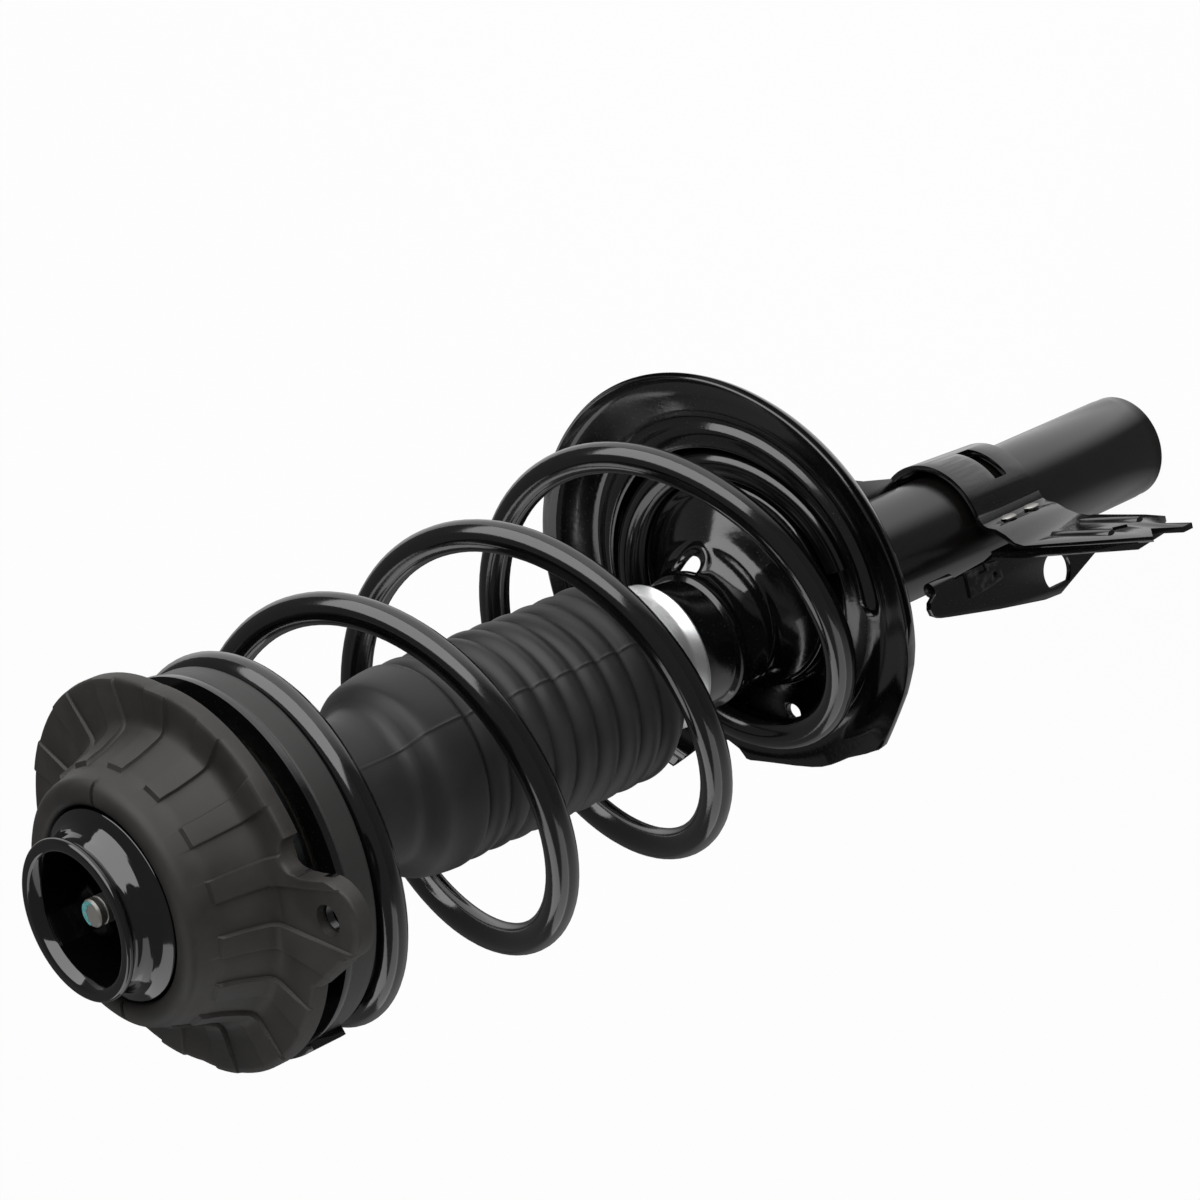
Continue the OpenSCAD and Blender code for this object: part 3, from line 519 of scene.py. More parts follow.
def zinc_plate(tree, at):
    """Pressed steel, bright zinc plated: silver with a cool spangle and fine draw marks round it."""
    spangle = add(tree, "ShaderNodeTexVoronoi", {"Vector": at, "Scale": 1 / 3.5}).outputs["Color"]
    tone = add(tree, "ShaderNodeSeparateColor", {"Color": spangle})
    marks = lines_over(tree, at, (0, 0, 1), 2.0)
    tones = (tone, settings().look.zinc, "#dcddde")
    finish(tree, tones, (tone, 0, 1, 0.3, 0.4), (marks, 0.03), Metallic=1.0)


def ground_steel(tree, at):
    """Hardened and ground bearing steel: grey mirror broken by grinding lines 0.3 mm apart."""
    lines = lines_over(tree, at, (1, 1, 0), 3.3)
    finish(tree, (lines, "#a2a5a9", "#b6b9bd"), (lines, 0.3, 0.7, 0.18, 0.3), (lines, 0.008), Metallic=1.0)


def turned_steel(tree, at):
    """Turned steel end of the rod: light grey face with rings left by the cutting tool."""
    rings = lines_over(tree, at, (1, 1, 0), 2.5)
    finish(tree, (rings, "#a3a19c", "#c0beb9"), (rings, 0.3, 0.7, 0.5, 0.62), (rings, 0.02), Metallic=1.0)


def chromed_steel(tree, at):
    """Hard chromed, ground and polished rod: near mirror with faint lines of polishing round it."""
    lines = lines_over(tree, at, (0, 0, 1), 3.0)
    finish(tree, (lines, "#c6c8cb", "#d2d4d7"), (lines, 0.3, 0.7, 0.06, 0.12), (lines, 0.004), Metallic=1.0)


def sintered_iron(tree, pores):
    """Pressed and sintered iron: dull grey with open pores half a millimetre across."""
    tones = ((pores, 0.4, 0.6), "#4b4c4e", "#76777a")
    finish(tree, tones, (pores, 0.4, 0.6, 0.6, 0.42), (pores, 0.03), Metallic=1.0)


def plug_weld(tree, at):
    """Weld metal left bare: light grey, satin, with the ripples of the cooled pool."""
    waves = {"Vector": at, "Scale": 0.5, "Distortion": 3.0}
    ripple = add(tree, "ShaderNodeTexWave", waves, wave_type="RINGS").outputs["Fac"]
    finish(tree, (ripple, "#a09f9c", "#c4c3bf"), (ripple, 0, 1, 0.42, 0.56), (ripple, 0.04), Metallic=1.0)


def bump_foam(tree, at):
    """Cellular polyurethane, cast: ochre foam with a skin of half-millimetre cells."""
    cells = add(tree, "ShaderNodeTexVoronoi", {"Vector": at, "Scale": 1 / 0.7})
    tones = ((cells, 0.1, 0.6), "#9c8a58", "#cdbb85")
    finish(tree, tones, (cells, 0, 0.8, 0.85, 0.7), (cells, 0.06), IOR=1.48)


def cage_nylon(tree, fibre):
    """Injection moulded glass-filled nylon: cream plastic with faint fibre streaks."""
    finish(tree, (fibre, "#b9ad8a", "#d8cfb2"), (fibre, 0.3, 0.7, 0.38, 0.5), (fibre, 0.01), IOR=1.53)


def band_ptfe(tree, mottle):
    """Bronze-filled PTFE, skived: brown-grey with slow mottling."""
    finish(tree, (mottle, "#4a4332", "#6d6248"), (mottle, 0.3, 0.7, 0.4, 0.55), (mottle, 0.01), IOR=1.38)


def marking_paint(tree, drag):
    """Brushed marking paint: flat teal with brush drag and thin spots."""
    tones = ((drag, 0.45, 0.7), settings().look.paint_mark, "#8fc3c4")
    finish(tree, tones, (drag, 0.3, 0.7, 0.5, 0.65), (drag, 0.03), IOR=1.48)


# material name, function, and what it is given: the place in millimetres, or noises of (size in mm, detail)
PLACE = "place"
FINISHES = {
    # the dust, its last noise, is drawn 0.5 mm across, coarser than real grains, so that it shows
    "enamel": ("enamelled_steel_dipped", dipped_enamel, (40, 2), (2.2, 1), (0.5, 0)),
    "cup": ("enamelled_steel_sprayed", cup_enamel, (6, 1), (18, 2)),
    "spring": ("powder_coated_spring_steel", spring_powder_coat, (1.6, 1), (30, 2)),
    "tube": ("sprayed_tube_paint", tube_paint, (45, 2), (0.7, 1)),
    "clip": ("worn_enamel_clip_steel", clip_steel, (3, 3)),
    "boot": ("moulded_epdm_rubber", boot_rubber, (26, 3), (0.9, 1)),
    "dome": ("moulded_natural_rubber", dome_rubber, (22, 3), (0.8, 2)),
    "isolator": ("extruded_isolator_rubber", isolator_rubber, PLACE, (30, 2)),
    "seal": ("moulded_nitrile_rubber", seal_rubber, (0.6, 1)),
    "zinc": ("zinc_plated_steel", zinc_plate, PLACE),
    "ground": ("ground_bearing_steel", ground_steel, PLACE),
    "turned": ("turned_steel_rod_end", turned_steel, PLACE),
    "chrome": ("hard_chromed_rod", chromed_steel, PLACE),
    "sintered": ("sintered_iron", sintered_iron, (0.5, 2)),
    "weld": ("bare_weld_metal", plug_weld, PLACE),
    "foam": ("cast_polyurethane_foam", bump_foam, PLACE),
    "cage": ("moulded_glass_filled_nylon", cage_nylon, (1.2, 3)),
    "ptfe": ("skived_bronze_ptfe", band_ptfe, (1.5, 2)),
    "paint": ("brushed_marking_paint", marking_paint, (0.8, 3)),
}
MADE = {}


def material_for(key):
    """Makes each finish once; its patterns read object coordinates in millimetres."""
    if key not in MADE:
        name, fill, *sources = FINISHES[key]
        material = MADE[key] = bpy.data.materials.new(name)
        material.use_nodes = True
        tree = material.node_tree
        tree.nodes.clear()
        place = add(tree, "ShaderNodeTexCoord").outputs["Object"]
        at = add(tree, "ShaderNodeMapping", {"Vector": place, "Scale": (1 / MM,) * 3})
        for i, source in enumerate(sources):
            if source == PLACE:
                sources[i] = at
            else:
                noise = {"Vector": at, "Scale": 1 / source[0], "Detail": source[1]}
                sources[i] = add(tree, "ShaderNodeTexNoise", noise)
        fill(tree, *sources)
    return MADE[key]


# ---------------- operators


class Piece(bpy.types.Operator):
    """Shared ground of the piece operators."""

    bl_options = {"REGISTER", "UNDO"}

    def execute(self, context):
        self.make()
        return {"FINISHED"}


class STRUT_OT_spring(Piece):
    """Coil spring: one wire swept along its rising and tilting path"""

    bl_idname = "strut.spring"
    bl_label = "Coil spring"

    # places along the wire in turns: its start, leaving the top coil, turning in and reaching the seat
    start, leave, turn_in, reach, open_turns = -0.5, 0.35, 3.2, 3.58, 3.3
    # how many turns each change takes, and where the coils start to widen
    leaving, reaching, narrowing, settling = 0.34, 1.42, 0.54, 0.7
    widen, widening = 0.42, 0.62
    start_angle = math.radians(-5.4)
    # the coils' centre under the top seat and at the foot, and its bow between them
    head, foot, bow = (1.0 * MM, -3.0 * MM), (-7.2 * MM, 12.7 * MM), (1.2 * MM, 7.4 * MM)
    lean, lean_bow = (-0.043, 0.218), 0.042

    def path(self, props):
        """The wire's centre line from the closed top coil down to the pigtail in the seat."""
        wire = props.wire_radius
        top_z, bottom_z = COIL_TOP - wire, SEAT_CENTRE.z - 23 * MM + wire
        pitch = (top_z - bottom_z) / (self.reach - self.leave)
        count = int(props.turns * props.per_turn)
        points = []
        for i in range(count + 1):
            t = self.start + props.turns * i / count
            drop = pitch * (ramp(t - self.leave, self.leaving) - ramp(t - self.reach, self.reaching))
            wide, narrow = ease((t - self.widen) / self.widening), ease((t - self.turn_in) / self.narrowing)
            radius = mix(props.top_radius, props.middle_radius, wide)
            radius -= (props.middle_radius - props.pigtail_radius) * narrow
            mid, landed = clamp01(t / self.open_turns), ease((t - self.turn_in) / self.settling)
            bulge, free = 4 * mid * (1 - mid), clamp01((t - self.leave / 2) / self.leave)
            ends = zip(self.head, self.foot, self.bow)
            centre = [mix(top, low, mid) - bow * bulge for top, low, bow in ends]
            x, y = (mix(centre[j], SEAT_CENTRE[j], landed) for j in (0, 1))
            slope_x = mix(self.lean[0] * mid * free, -math.tan(SEAT_TILT[1]), landed)
            lean_y = (self.lean[1] * mid - self.lean_bow * bulge) * free
            slope_y = mix(lean_y, math.tan(SEAT_TILT[0]), landed)
            angle = self.start_angle + 2 * math.pi * t
            u, v = radius * math.sin(angle), radius * math.cos(angle)
            points.append((u + x, v + y, top_z - drop + slope_x * u + slope_y * v))
        return points

    def make(self):
        props = settings().spring
        piece = swept_bar("coil_spring_wire", self.path(props), "spring", props.wire_radius, props.sides)
        dress(piece, "strut", "spring_enamel", "spring", "coil_spring")
        shorten_with_rod(piece)


class STRUT_OT_boot(Piece):
    """Dust boot: bellows, bulb and neck in one moulding, with its parting line"""

    bl_idname = "strut.boot"
    bl_label = "Dust boot"

    steps, rows_a_fold, crest_power = 360, 18, 0.72
    parting_angle, parting_width = math.radians(31), math.radians(0.9)
    parting_height = 0.45 * MM
    sag_depth, sag_top, sag_run, cap_run = 1.9 * MM, 455 * MM, 100 * MM, 9 * MM

    def sag(self, z):
        """How far the free folds hang to one side, less again where the end sits on the cap."""
        return self.sag_depth * ease((self.sag_top - z) / self.sag_run) * ease((z - CAP_TOP) / self.cap_run)

    def outline(self, props):
        """Outer line from the bottom edge up."""
        low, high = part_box("dust_boot")
        r, neck = props.fold_radius / MM, props.neck_radius / MM
        bulb = high.z - 103.5 * MM
        foot, top = low.z + 12 * MM, bulb - 3 * MM
        line = metres([(32.7, 0), (33, 0.5), (33, 2.6), (34.2, 4.2), (37, 6.4), (39.2, 9)], low.z)
        count = props.folds * self.rows_a_fold
        for i in range(count + 1):
            crest = abs(math.sin(math.pi * i / self.rows_a_fold)) ** self.crest_power
            line.append((props.fold_radius + props.fold_depth * (crest - 0.5), mix(foot, top, i / count)))
        line += metres([
            (r - 0.9, -2.3), (r + 0.9, -1.3), (r + 1.9, 0), (r + 2.1, 1.6), (r + 1.9, 5), (r + 1.4, 9.5),
            (r + 0.6, 14), (r - 0.3, 17.2), (r - 1.1, 18.6), (r - 2.8, 20.4), (neck + 4.6, 22.6),
            (neck + 2.2, 24.4), (neck + 0.8, 26.4), (neck + 0.1, 29.5), (neck, 34),
        ], bulb)
        return line + metres([(neck, -6), (neck, 0)], high.z)

    def make(self):
        props = settings().boot
        outer = self.outline(props)
        section = outer + [(r - props.wall, z) for r, z in reversed(outer)]
        turn, points = around(self.steps), []
        for i, (r, z) in enumerate(section):
            seamed = i < len(outer) - 2
            for a, c, s in turn:
                off = min(apart(a, self.parting_angle), apart(a, self.parting_angle + math.pi))
                lift = self.parting_height * clamp01(1 - off / self.parting_width) * seamed
                points.append(((r + lift) * c, (r + lift) * s - self.sag(z), z))
        piece = shape("dust_boot_bellows", points, grid_faces(len(section), self.steps, wrap_rows=True), 50)
        dress(piece, "spring_top", "boot_rubber", "boot", "dust_boot")
        shorten_with_rod(piece)


def plate_reach(node, height):
    """Distance from the axis to the edge of a packed plate, as a function of the angle."""
    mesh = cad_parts[node].data
    tree = BVHTree.FromPolygons([v.co for v in mesh.vertices], [p.vertices for p in mesh.polygons])

    def reach(angle):
        way = Vector((math.cos(angle), math.sin(angle), 0))
        hit = tree.ray_cast(way * 0.2 + Vector((0, 0, height)), -way, 0.2)[0]
        if hit is None:
            raise ValueError(f"{node} has no edge at {math.degrees(angle):.1f} degrees")
        return Vector((hit.x, hit.y)).length

    return reach


class STRUT_OT_dome(Piece):
    """Rubber dome of the top mount: crowned lip, flank and skin with raised bars"""

    bl_idname = "strut.dome"
    bl_label = "Rubber dome"

    steps, bore = 1080, 31 * MM
    first_bar, bar_flank, bar_end = math.radians(4.6), math.radians(0.55), 0.55
    # narrow slits across the crown: their angle and how far out they run
    slits = ((math.radians(78), 56 * MM), (math.radians(-103), 50 * MM))
    slit_half, slit_depth, slit_from = math.radians(1.1), 1.3 * MM, 39.5 * MM
    ear_hole, ear_hole_radius = (90.5 * MM, -13 * MM), 6.4 * MM

    def profile(self, skin_top):
        """(radius, height, share of the bar) from the mouth outward to the foot."""
        mouth, crest, shoulder, foot = 40.2, 45.0, 51.2, 60.5
        plain = [
            (31, 10), (36, 10), (38.4, 11.2), (39.3, 14), (mouth, 24), (mouth, 30.4), (mouth + 0.3, 32.4),
            (mouth + 1.2, 33.5), (mouth + 2.6, 34), (crest, 34), (crest + 2.4, 33.7), (shoulder - 2.2, 32.9),
            (shoulder - 0.7, 31.6), (shoulder, 29.6), (shoulder + 0.6, 27),
        ]
        barred = [
            (shoulder + 1.6, 22.8), (shoulder + 2.3, 21.6), (shoulder + 2.8, 19.6), (shoulder + 4.2, 14),
            (foot - 3, 8.4), (foot - 1.6, 5), (foot - 0.2, 2.4), (foot + 1.6, 0.8), (foot + 4, 0.1),
        ]
        shares = [0] * len(plain) + [0.1, 0.9] + [1] * (len(barred) - 2)
        return [(r, z, share) for (r, z), share in zip(metres(plain + barred, skin_top), shares)]

    def bar(self, props, a):
        """Height of the raised bars at one angle."""
        pitch = 2 * math.pi / props.ribs
        off = abs((a - self.first_bar + pitch / 2) % pitch - pitch / 2)
        flank = (props.rib_angle / 2 + self.bar_flank / 2 - off) / self.bar_flank
        return ease(flank) * props.rib_height

    def crown(self, profile, rib, slit, open_above):
        """The dome's line at one angle, lifted square to itself by the bar and sunk in the slit."""
        line = []
        for i, (r, z, share) in enumerate(profile):
            before, after = profile[max(i - 1, 0)], profile[min(i + 1, len(profile) - 1)]
            along = Vector((after[0] - before[0], after[1] - before[1])).normalized()
            deep = self.slit_depth if self.slit_from < r < slit and z > open_above else 0.0
            line.append((r - along.y * rib * share, z + along.x * rib * share - deep))
        return line

    def skin(self, inner, edge, rib, skin_top, plate_top):
        """The skin from the dome's foot out over the plate's edge and back along its underside."""
        lip = edge + 0.25 * MM
        line = [
            (mix(inner, lip - 1.4 * MM, k), skin_top + rib * mix(1, self.bar_end, k))
            for k in (0.25, 0.5, 0.75, 0.92)
        ]
        top = skin_top + rib * self.bar_end
        line += [(lip - 1.2 * MM, top - 0.1 * MM), (lip - 0.35 * MM, top - 0.7 * MM)]
        line.append((lip, skin_top - 1.4 * MM))
        hem = ((0.25, 0), (0.25, -2.2), (0.1, -2.8), (0.02, -3), (0.02, 0))
        line += [(edge + out * MM, plate_top + up * MM) for out, up in hem]
        return line + [(mix(self.bore, edge, 0.5), plate_top), (self.bore, plate_top)]

    def make(self):
        props = settings().mount
        plate_top = top_of("mount_plate")
        skin_top = foot_of("mount_rubber") + 4 * MM
        reach = plate_reach("mount_plate", plate_top - 1.5 * MM)
        profile = self.profile(skin_top)
        columns = []
        for a, c, s in around(self.steps):
            rib = self.bar(props, a)
            slit = max([far for at, far in self.slits if apart(a, at) < self.slit_half], default=0.0)
            column = self.crown(profile, rib, slit, skin_top + 30 * MM)
            column += self.skin(profile[-1][0], reach(a), rib, skin_top, plate_top)
            columns.append([(r * c, r * s, z) for r, z in column])
        points = [point for row in zip(*columns) for point in row]
        faces = grid_faces(len(columns[0]), self.steps, wrap_rows=True)
        piece = shape("mount_dome_rubber", points, faces, 42)
        drill(piece, Vector((*self.ear_hole, plate_top)), self.ear_hole_radius, -10 * MM, 12 * MM)
        soften(piece, 42)
        dress(piece, "top_mount", "mount_rubber", "dome", "mount_rubber", "mount_skin")


class STRUT_OT_cup(Piece):
    """Steel cup of the top mount with its rolled lip and neck groove"""

    bl_idname = "strut.cup"
    bl_label = "Mount cup"

    def make(self):
        low = foot_of("mount_cup")
        body, bore, rim, hole = 31.0, 25.7, 33.3, 6.0
        line = metres([(hole, 0), (body - 4, 0)], low)
        line += metres([(body - 4, 0), (body, 0)], foot_of("mount_plate"))
        # the sleeve flares to the mouth of the dome, draws in to the neck and rolls out to the rim
        line += metres([
            (body, -21), (39.4, -18.4), (39.4, -16.8), (37.2, -16), (35, -14.8), (33.1, -13), (31.8, -11),
            (body - 0.3, -8.4), (body - 1.4, -7), (body - 1.6, -5.6), (body - 1.2, -4.6), (rim - 0.9, -3.6),
            (rim, -2.6), (rim, -0.9), (rim - 0.9, 0), (29.2, 0), (28.2, -0.5), (27, -2.4),
            (bore + 0.3, -4.6), (bore, -7),
        ], top_of("mount_cup"))
        line += metres([(bore, 9.5), (bore - 1.4, 6.4), (bore - 4.4, 5), (hole, 5)], low)
        points, faces = lathe(rounded(line, 0.7 * MM), 240)
        dress(shape("mount_cup_drawn", points, faces, 40), "top_mount", "black_enamel", "cup", "mount_cup")


class STRUT_OT_rod(Piece):
    """Piston rod with its turned end, thread and paint dab"""

    bl_idname = "strut.rod"
    bl_label = "Piston rod"

    root, crest, rod, stud = 5.3, 5.95, 11, 6
    rings_a_turn, run_out = 32, 16

    def make(self):
        low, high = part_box("piston_rod")
        shoulder = foot_of("mount_cup")
        root, crest, rod, stud = self.root, self.crest, self.rod, self.stud
        shaft = metres([(0, 0), (4.8, 0), (stud, 1.2)], low.z)
        shaft += metres([(stud, 0), (rod - 0.6, 0), (rod, 0.6)], top_of("piston"))
        shaft += metres([(rod, -0.6), (rod - 0.6, 0), (stud, 0), (stud, 5), (root, 5.5), (0, 5.5)], shoulder)
        piece = shape("piston_rod_shaft", *lathe(shaft, 96), 30)
        dress(piece, "top_mount", "chromed_rod", "chrome", "piston_rod")
        end = metres([(0, 5.5), (root, 5.5)], shoulder) + metres([
            (root, -14.4), (crest - 0.1, -13.8), (crest - 0.1, -4.2), (crest - 0.5, -3.9),
            (crest - 0.5, -3.2), (crest - 0.1, -2.9), (crest - 0.1, -0.9), (crest - 0.9, 0), (0, 0),
        ], high.z)
        dress(shape("rod_end_turned", *lathe(end, 96), 30), "top_mount", "chromed_rod", "turned")
        self.thread(shoulder + 6 * MM, high.z - 14.6 * MM)
        self.dab(high.z)

    def thread(self, low, high):
        """Thread crest as a helix of its pitch, swept by the same tree as the spring."""
        pitch, section = settings().mount.thread_pitch, (self.crest - self.root) * 0.75 * MM
        turns = (high - low) / pitch
        count = int(turns * self.rings_a_turn)
        line = []
        for i in range(count + 1):
            a = 2 * math.pi * turns * i / count
            sunk = section * (1 - ease(min(i, count - i) / self.run_out))
            r = self.crest * MM - section - sunk
            line.append((r * math.cos(a), r * math.sin(a), low + pitch * turns * i / count))
        piece = swept_bar("rod_end_thread", line, "turned", section, 6)
        dress(piece, "top_mount", "chromed_rod", "turned")

    def dab(self, top):
        """A crescent of marking paint brushed over one side of the rod's end face."""
        steps, rings, thick, clear, outer = 40, 6, 0.16 * MM, 0.02 * MM, 5.15
        first, last = math.radians(60), math.radians(250)
        points = []
        for lift in (0.0, thick):
            for i in range(rings):
                for k in range(steps):
                    a = mix(first, last, k / (steps - 1))
                    brushed = 0.25 * math.sin(5 * a) + 0.15 * math.sin(11 * a + 1)
                    inner = 2.6 + brushed + 1.8 * abs(2 * k / (steps - 1) - 1) ** 2
                    r = mix(inner, outer, i / (rings - 1)) * MM
                    points.append((r * math.cos(a), r * math.sin(a), top + clear + lift))
        faces, layer = [], steps * rings
        for i in range(rings - 1):
            for a in range(i * steps, i * steps + steps - 1):
                quad = (a, a + 1, a + steps + 1, a + steps)
                faces += [quad, tuple(layer + j for j in reversed(quad))]
        edge = list(range(steps)) + [i * steps + steps - 1 for i in range(1, rings)]
        edge += [(rings - 1) * steps + k for k in range(steps - 2, -1, -1)]
        edge += [i * steps for i in range(rings - 2, 0, -1)]
        for a, b in zip(edge, edge[1:] + edge[:1]):
            faces.append((a, b, b + layer, a + layer))
        dress(shape("rod_end_paint_dab", points, faces, 60), "top_mount", "chromed_rod", "paint")


class STRUT_OT_seat(Piece):
    """Lower spring seat: one pressing from the rolled rim down the flare to the collar"""

    bl_idname = "strut.seat"
    bl_label = "Lower spring seat"

    steps, flare_rows = 360, 40
    # millimetres: the groove's play beside the wire and its outer wall's shift to -Y
    play, trough_shift = 0.75, 4.0
    # millimetres below the rim: the shoulder inside the groove and the outer band; radius of their step
    shoulder, band_floor, step = -11.0, -12.2, 76.0
    # degrees: where the raised track has run out in the outer band, and over how far it does
    track_end, track_run = -14.0, 7
    collar = (
        (30.5, -24.4), (30.6, -22.6), (30.3, -21), (29.3, -20.2), (28.6, -19.6), (28.5, -18), (28.5, -10),
        (28.5, -3), (28.2, -0.8), (27.6, 0), (25.02, 0),
    )
    arch_centre, arch_radius = Vector((0.0, 26.6, 0.0)) * MM, 8 * MM
    drain_place = (-5 * MM, -51 * MM)
    # trimmed side, in shares of the rim radius, from the rim past the corner to the far rim
    trim = (
        (1.03, -0.12), (0.985, -0.17), (0.935, -0.282), (0.894, -0.373), (0.804, -0.508), (0.692, -0.645),
        (0.615, -0.738), (0.59, -0.752), (0.497, -0.778), (0.44, -0.79), (0.381, -0.802), (0.32, -0.822),
        (0.268, -0.837), (0.21, -0.848), (0.148, -0.851), (0.05, -0.847), (-0.05, -0.838),
        (-0.205, -0.822), (-0.226, -0.815), (-0.262, -0.771), (-0.319, -0.732), (-0.43, -0.73),
        (-0.62, -0.83),
    )

    def band(self, props, a):
        """Upper surface from the rim to the inner shoulder at one angle, in the seat's own frame."""
        rim, groove, floor = props.rim_radius / MM, props.groove_radius / MM, -props.groove_depth / MM
        reach, shift = settings().spring.wire_radius / MM + self.play, self.trough_shift
        # the groove's outer wall is a circle shifted to -Y, seen from the seat's centre
        wall = math.sqrt((groove + reach + shift) ** 2 - (shift * math.cos(a)) ** 2) - shift * math.sin(a)
        inner, step, low, shoulder = groove - reach, self.step, self.band_floor, self.shoulder
        # the raised track runs out in the outer band past its stop
        turn = math.degrees((a + math.pi) % (2 * math.pi) - math.pi)
        raised = ease((turn - self.track_end) / self.track_run) if turn > -90 else 1
        track = mix(low + 0.3, -props.track_depth / MM, raised)
        last = step - 5
        lip = min(wall + 1.6, last - 0.4)
        return metres([
            (rim - 0.1, 0), (rim - 0.6, 0.5), (rim - 1.3, 0.3), (rim - 2.2, -1.4), (rim - 3.4, -3.8),
            (rim - 4.6, -5.4), (rim - 6, -6.4), (step + 13, -8.7), (step + 6.5, -11), (step + 3.5, low),
            (step + 1.2, mix(low, track, 0.05)), (step - 0.4, mix(low, track, 0.32)),
            (step - 1.8, mix(low, track, 0.7)), (step - 3.2, mix(low, track, 0.92)), (last, track),
            (mix(last, lip, 0.5), track), (lip, track - 0.1), (mix(lip, wall, 0.6), track - 0.6),
            (wall, track - 2.2), (wall, mix(track, floor, 0.5)), (wall - 0.1, floor + 3.4),
            (wall - 1, floor + 1), (wall - 3.2, floor), (mix(wall, inner, 0.5), floor), (inner + 3.2, floor),
            (inner + 1, floor + 1), (inner + 0.1, floor + 3.2), (inner - 0.3, mix(floor, shoulder, 0.6)),
            (inner - 0.7, shoulder - 1.8), (inner - 1.5, shoulder - 0.5), (inner - 2.8, shoulder + 0.1),
        ])

    def tilted(self, share, place):
        """A frame turned by a share of the seat's tilt."""
        turn = Matrix.Rotation(SEAT_TILT[1] * share, 4, "Y") @ Matrix.Rotation(SEAT_TILT[0] * share, 4, "X")
        return Matrix.Translation(place) @ turn

    def flare(self, k):
        """Frame and radius of the flare; k is 1 at the shoulder and 0 at the collar."""
        share = ease(k)
        z = mix(COLLAR_TOP - 25 * MM, SEAT_CENTRE.z + self.shoulder * MM, k)
        place = (SEAT_CENTRE.x * share, SEAT_CENTRE.y * share, z)
        return self.tilted(share, place), mix(30.1 * MM, 46.4 * MM, k * k)

    def embossed(self, point, c, s, radius):
        """Lifts the raised lip round the arch and the pressed ring at the foot of the collar."""
        off = (Vector((point.x, point.y, 0)) - self.arch_centre).length - self.arch_radius - 2.2 * MM
        lip = 1.5 * MM * bell(off, 1.5 * MM) * ease((point.y - 27 * MM) / (4 * MM))
        ring = 0.5 * MM * bell(radius - 33.4 * MM, 0.9 * MM)
        return point + Vector((c, s, 0.55)).normalized() * (lip + ring)

    def make(self):
        props = settings().seat
        place, turn = self.tilted(1, SEAT_CENTRE), around(self.steps)
        bands = [[place @ Vector((r * c, r * s, z)) for r, z in self.band(props, a)] for a, c, s in turn]
        points = [point for row in zip(*bands) for point in row]
        for j in range(1, self.flare_rows + 1):
            local, r = self.flare(1 - j / self.flare_rows)
            points += [self.embossed(local @ Vector((r * c, r * s, 0)), c, s, r) for _, c, s in turn]
        for r, z in metres(self.collar, COLLAR_TOP):
            points += [(r * c, r * s, z) for _, c, s in turn]
        piece = shape("lower_seat_pressing", points, grid_faces(len(points) // self.steps, self.steps), 40)
        self.face_up(piece)
        wall = piece.modifiers.new("sheet", "SOLIDIFY")
        wall.thickness, wall.offset = props.sheet, -1
        wall.use_even_offset = False
        wall.use_quality_normals = True
        apply_modifiers(piece)
        self.openings(piece, props, place)
        break_edges(piece, 0.5 * MM, 2, 50)
        soften(piece, 40)
        dress(piece, "strut", "black_enamel", "enamel", "lower_spring_seat")

    def face_up(self, piece):
        """Turns the open sheet's normals to the spring's side before it gets its thickness."""
        floor = next(p for p in piece.data.polygons if p.center.z < SEAT_CENTRE.z - 15 * MM)
        if floor.normal.z < 0:
            piece.data.flip_normals()

    def openings(self, piece, props, place):
        """Drain hole, the arch in the flare and the trimmed side."""
        drill(piece, Vector((*self.drain_place, SEAT_CENTRE.z)), props.drain_radius, -60 * MM, 20 * MM)
        low, high = COLLAR_TOP - 54 * MM, COLLAR_TOP - 27 * MM
        drill(piece, self.arch_centre, self.arch_radius, low, high, 64)
        rim = props.rim_radius
        edge = [(x * rim, y * rim) for x, y in (*self.trim, (-0.62, -1.1), (1.1, -1.1), (1.1, -0.12))]
        corners = [place @ Vector((x, y, z)) for z in (-50 * MM, 50 * MM) for x, y in edge]
        count = len(edge)
        faces = [(i, (i + 1) % count, count + (i + 1) % count, count + i) for i in range(count)]
        faces += [tuple(range(count)), tuple(range(2 * count - 1, count - 1, -1))]
        cut(piece, shape("trim_cutter", corners, faces))


class STRUT_OT_upper_seat(Piece):
    """Upper spring seat, isolator and striker cap with their edges broken"""

    bl_idname = "strut.upper_seat"
    bl_label = "Upper seat and caps"

    def make(self):
        piece = eased_copy("upper_spring_seat", "upper_seat_pan", 0.5)
        dress(piece, "spring_top", "black_enamel", "enamel", "upper_spring_seat")
        piece = eased_copy("spring_isolator", "isolator_ring", 1.2, 3)
        dress(piece, "spring_top", "isolator_rubber", "isolator", "spring_isolator")
        # the cap's straight wall flares into a skirt that stands over the collar
        low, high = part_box("striker_cap")
        skirt, sheet, hole = high.x / MM, 1.6, 16.5
        wall = skirt - 3
        line = metres([(hole, 0), (wall - 1.2, 0), (wall - 0.3, -0.4), (wall, -1.3)], high.z)
        line += metres([
            (wall, 5.6), (wall + 0.5, 4.4), (skirt - 0.5, 1), (skirt, 0.5), (skirt, 0), (skirt - sheet, 0),
            (wall - sheet, 5),
        ], low.z)
        line += metres([(wall - sheet, -sheet), (hole, -sheet)], high.z)
        dress(shape("striker_cap_pressed", *lathe(line, 192), 40), "strut", "zinc", "zinc", "striker_cap")


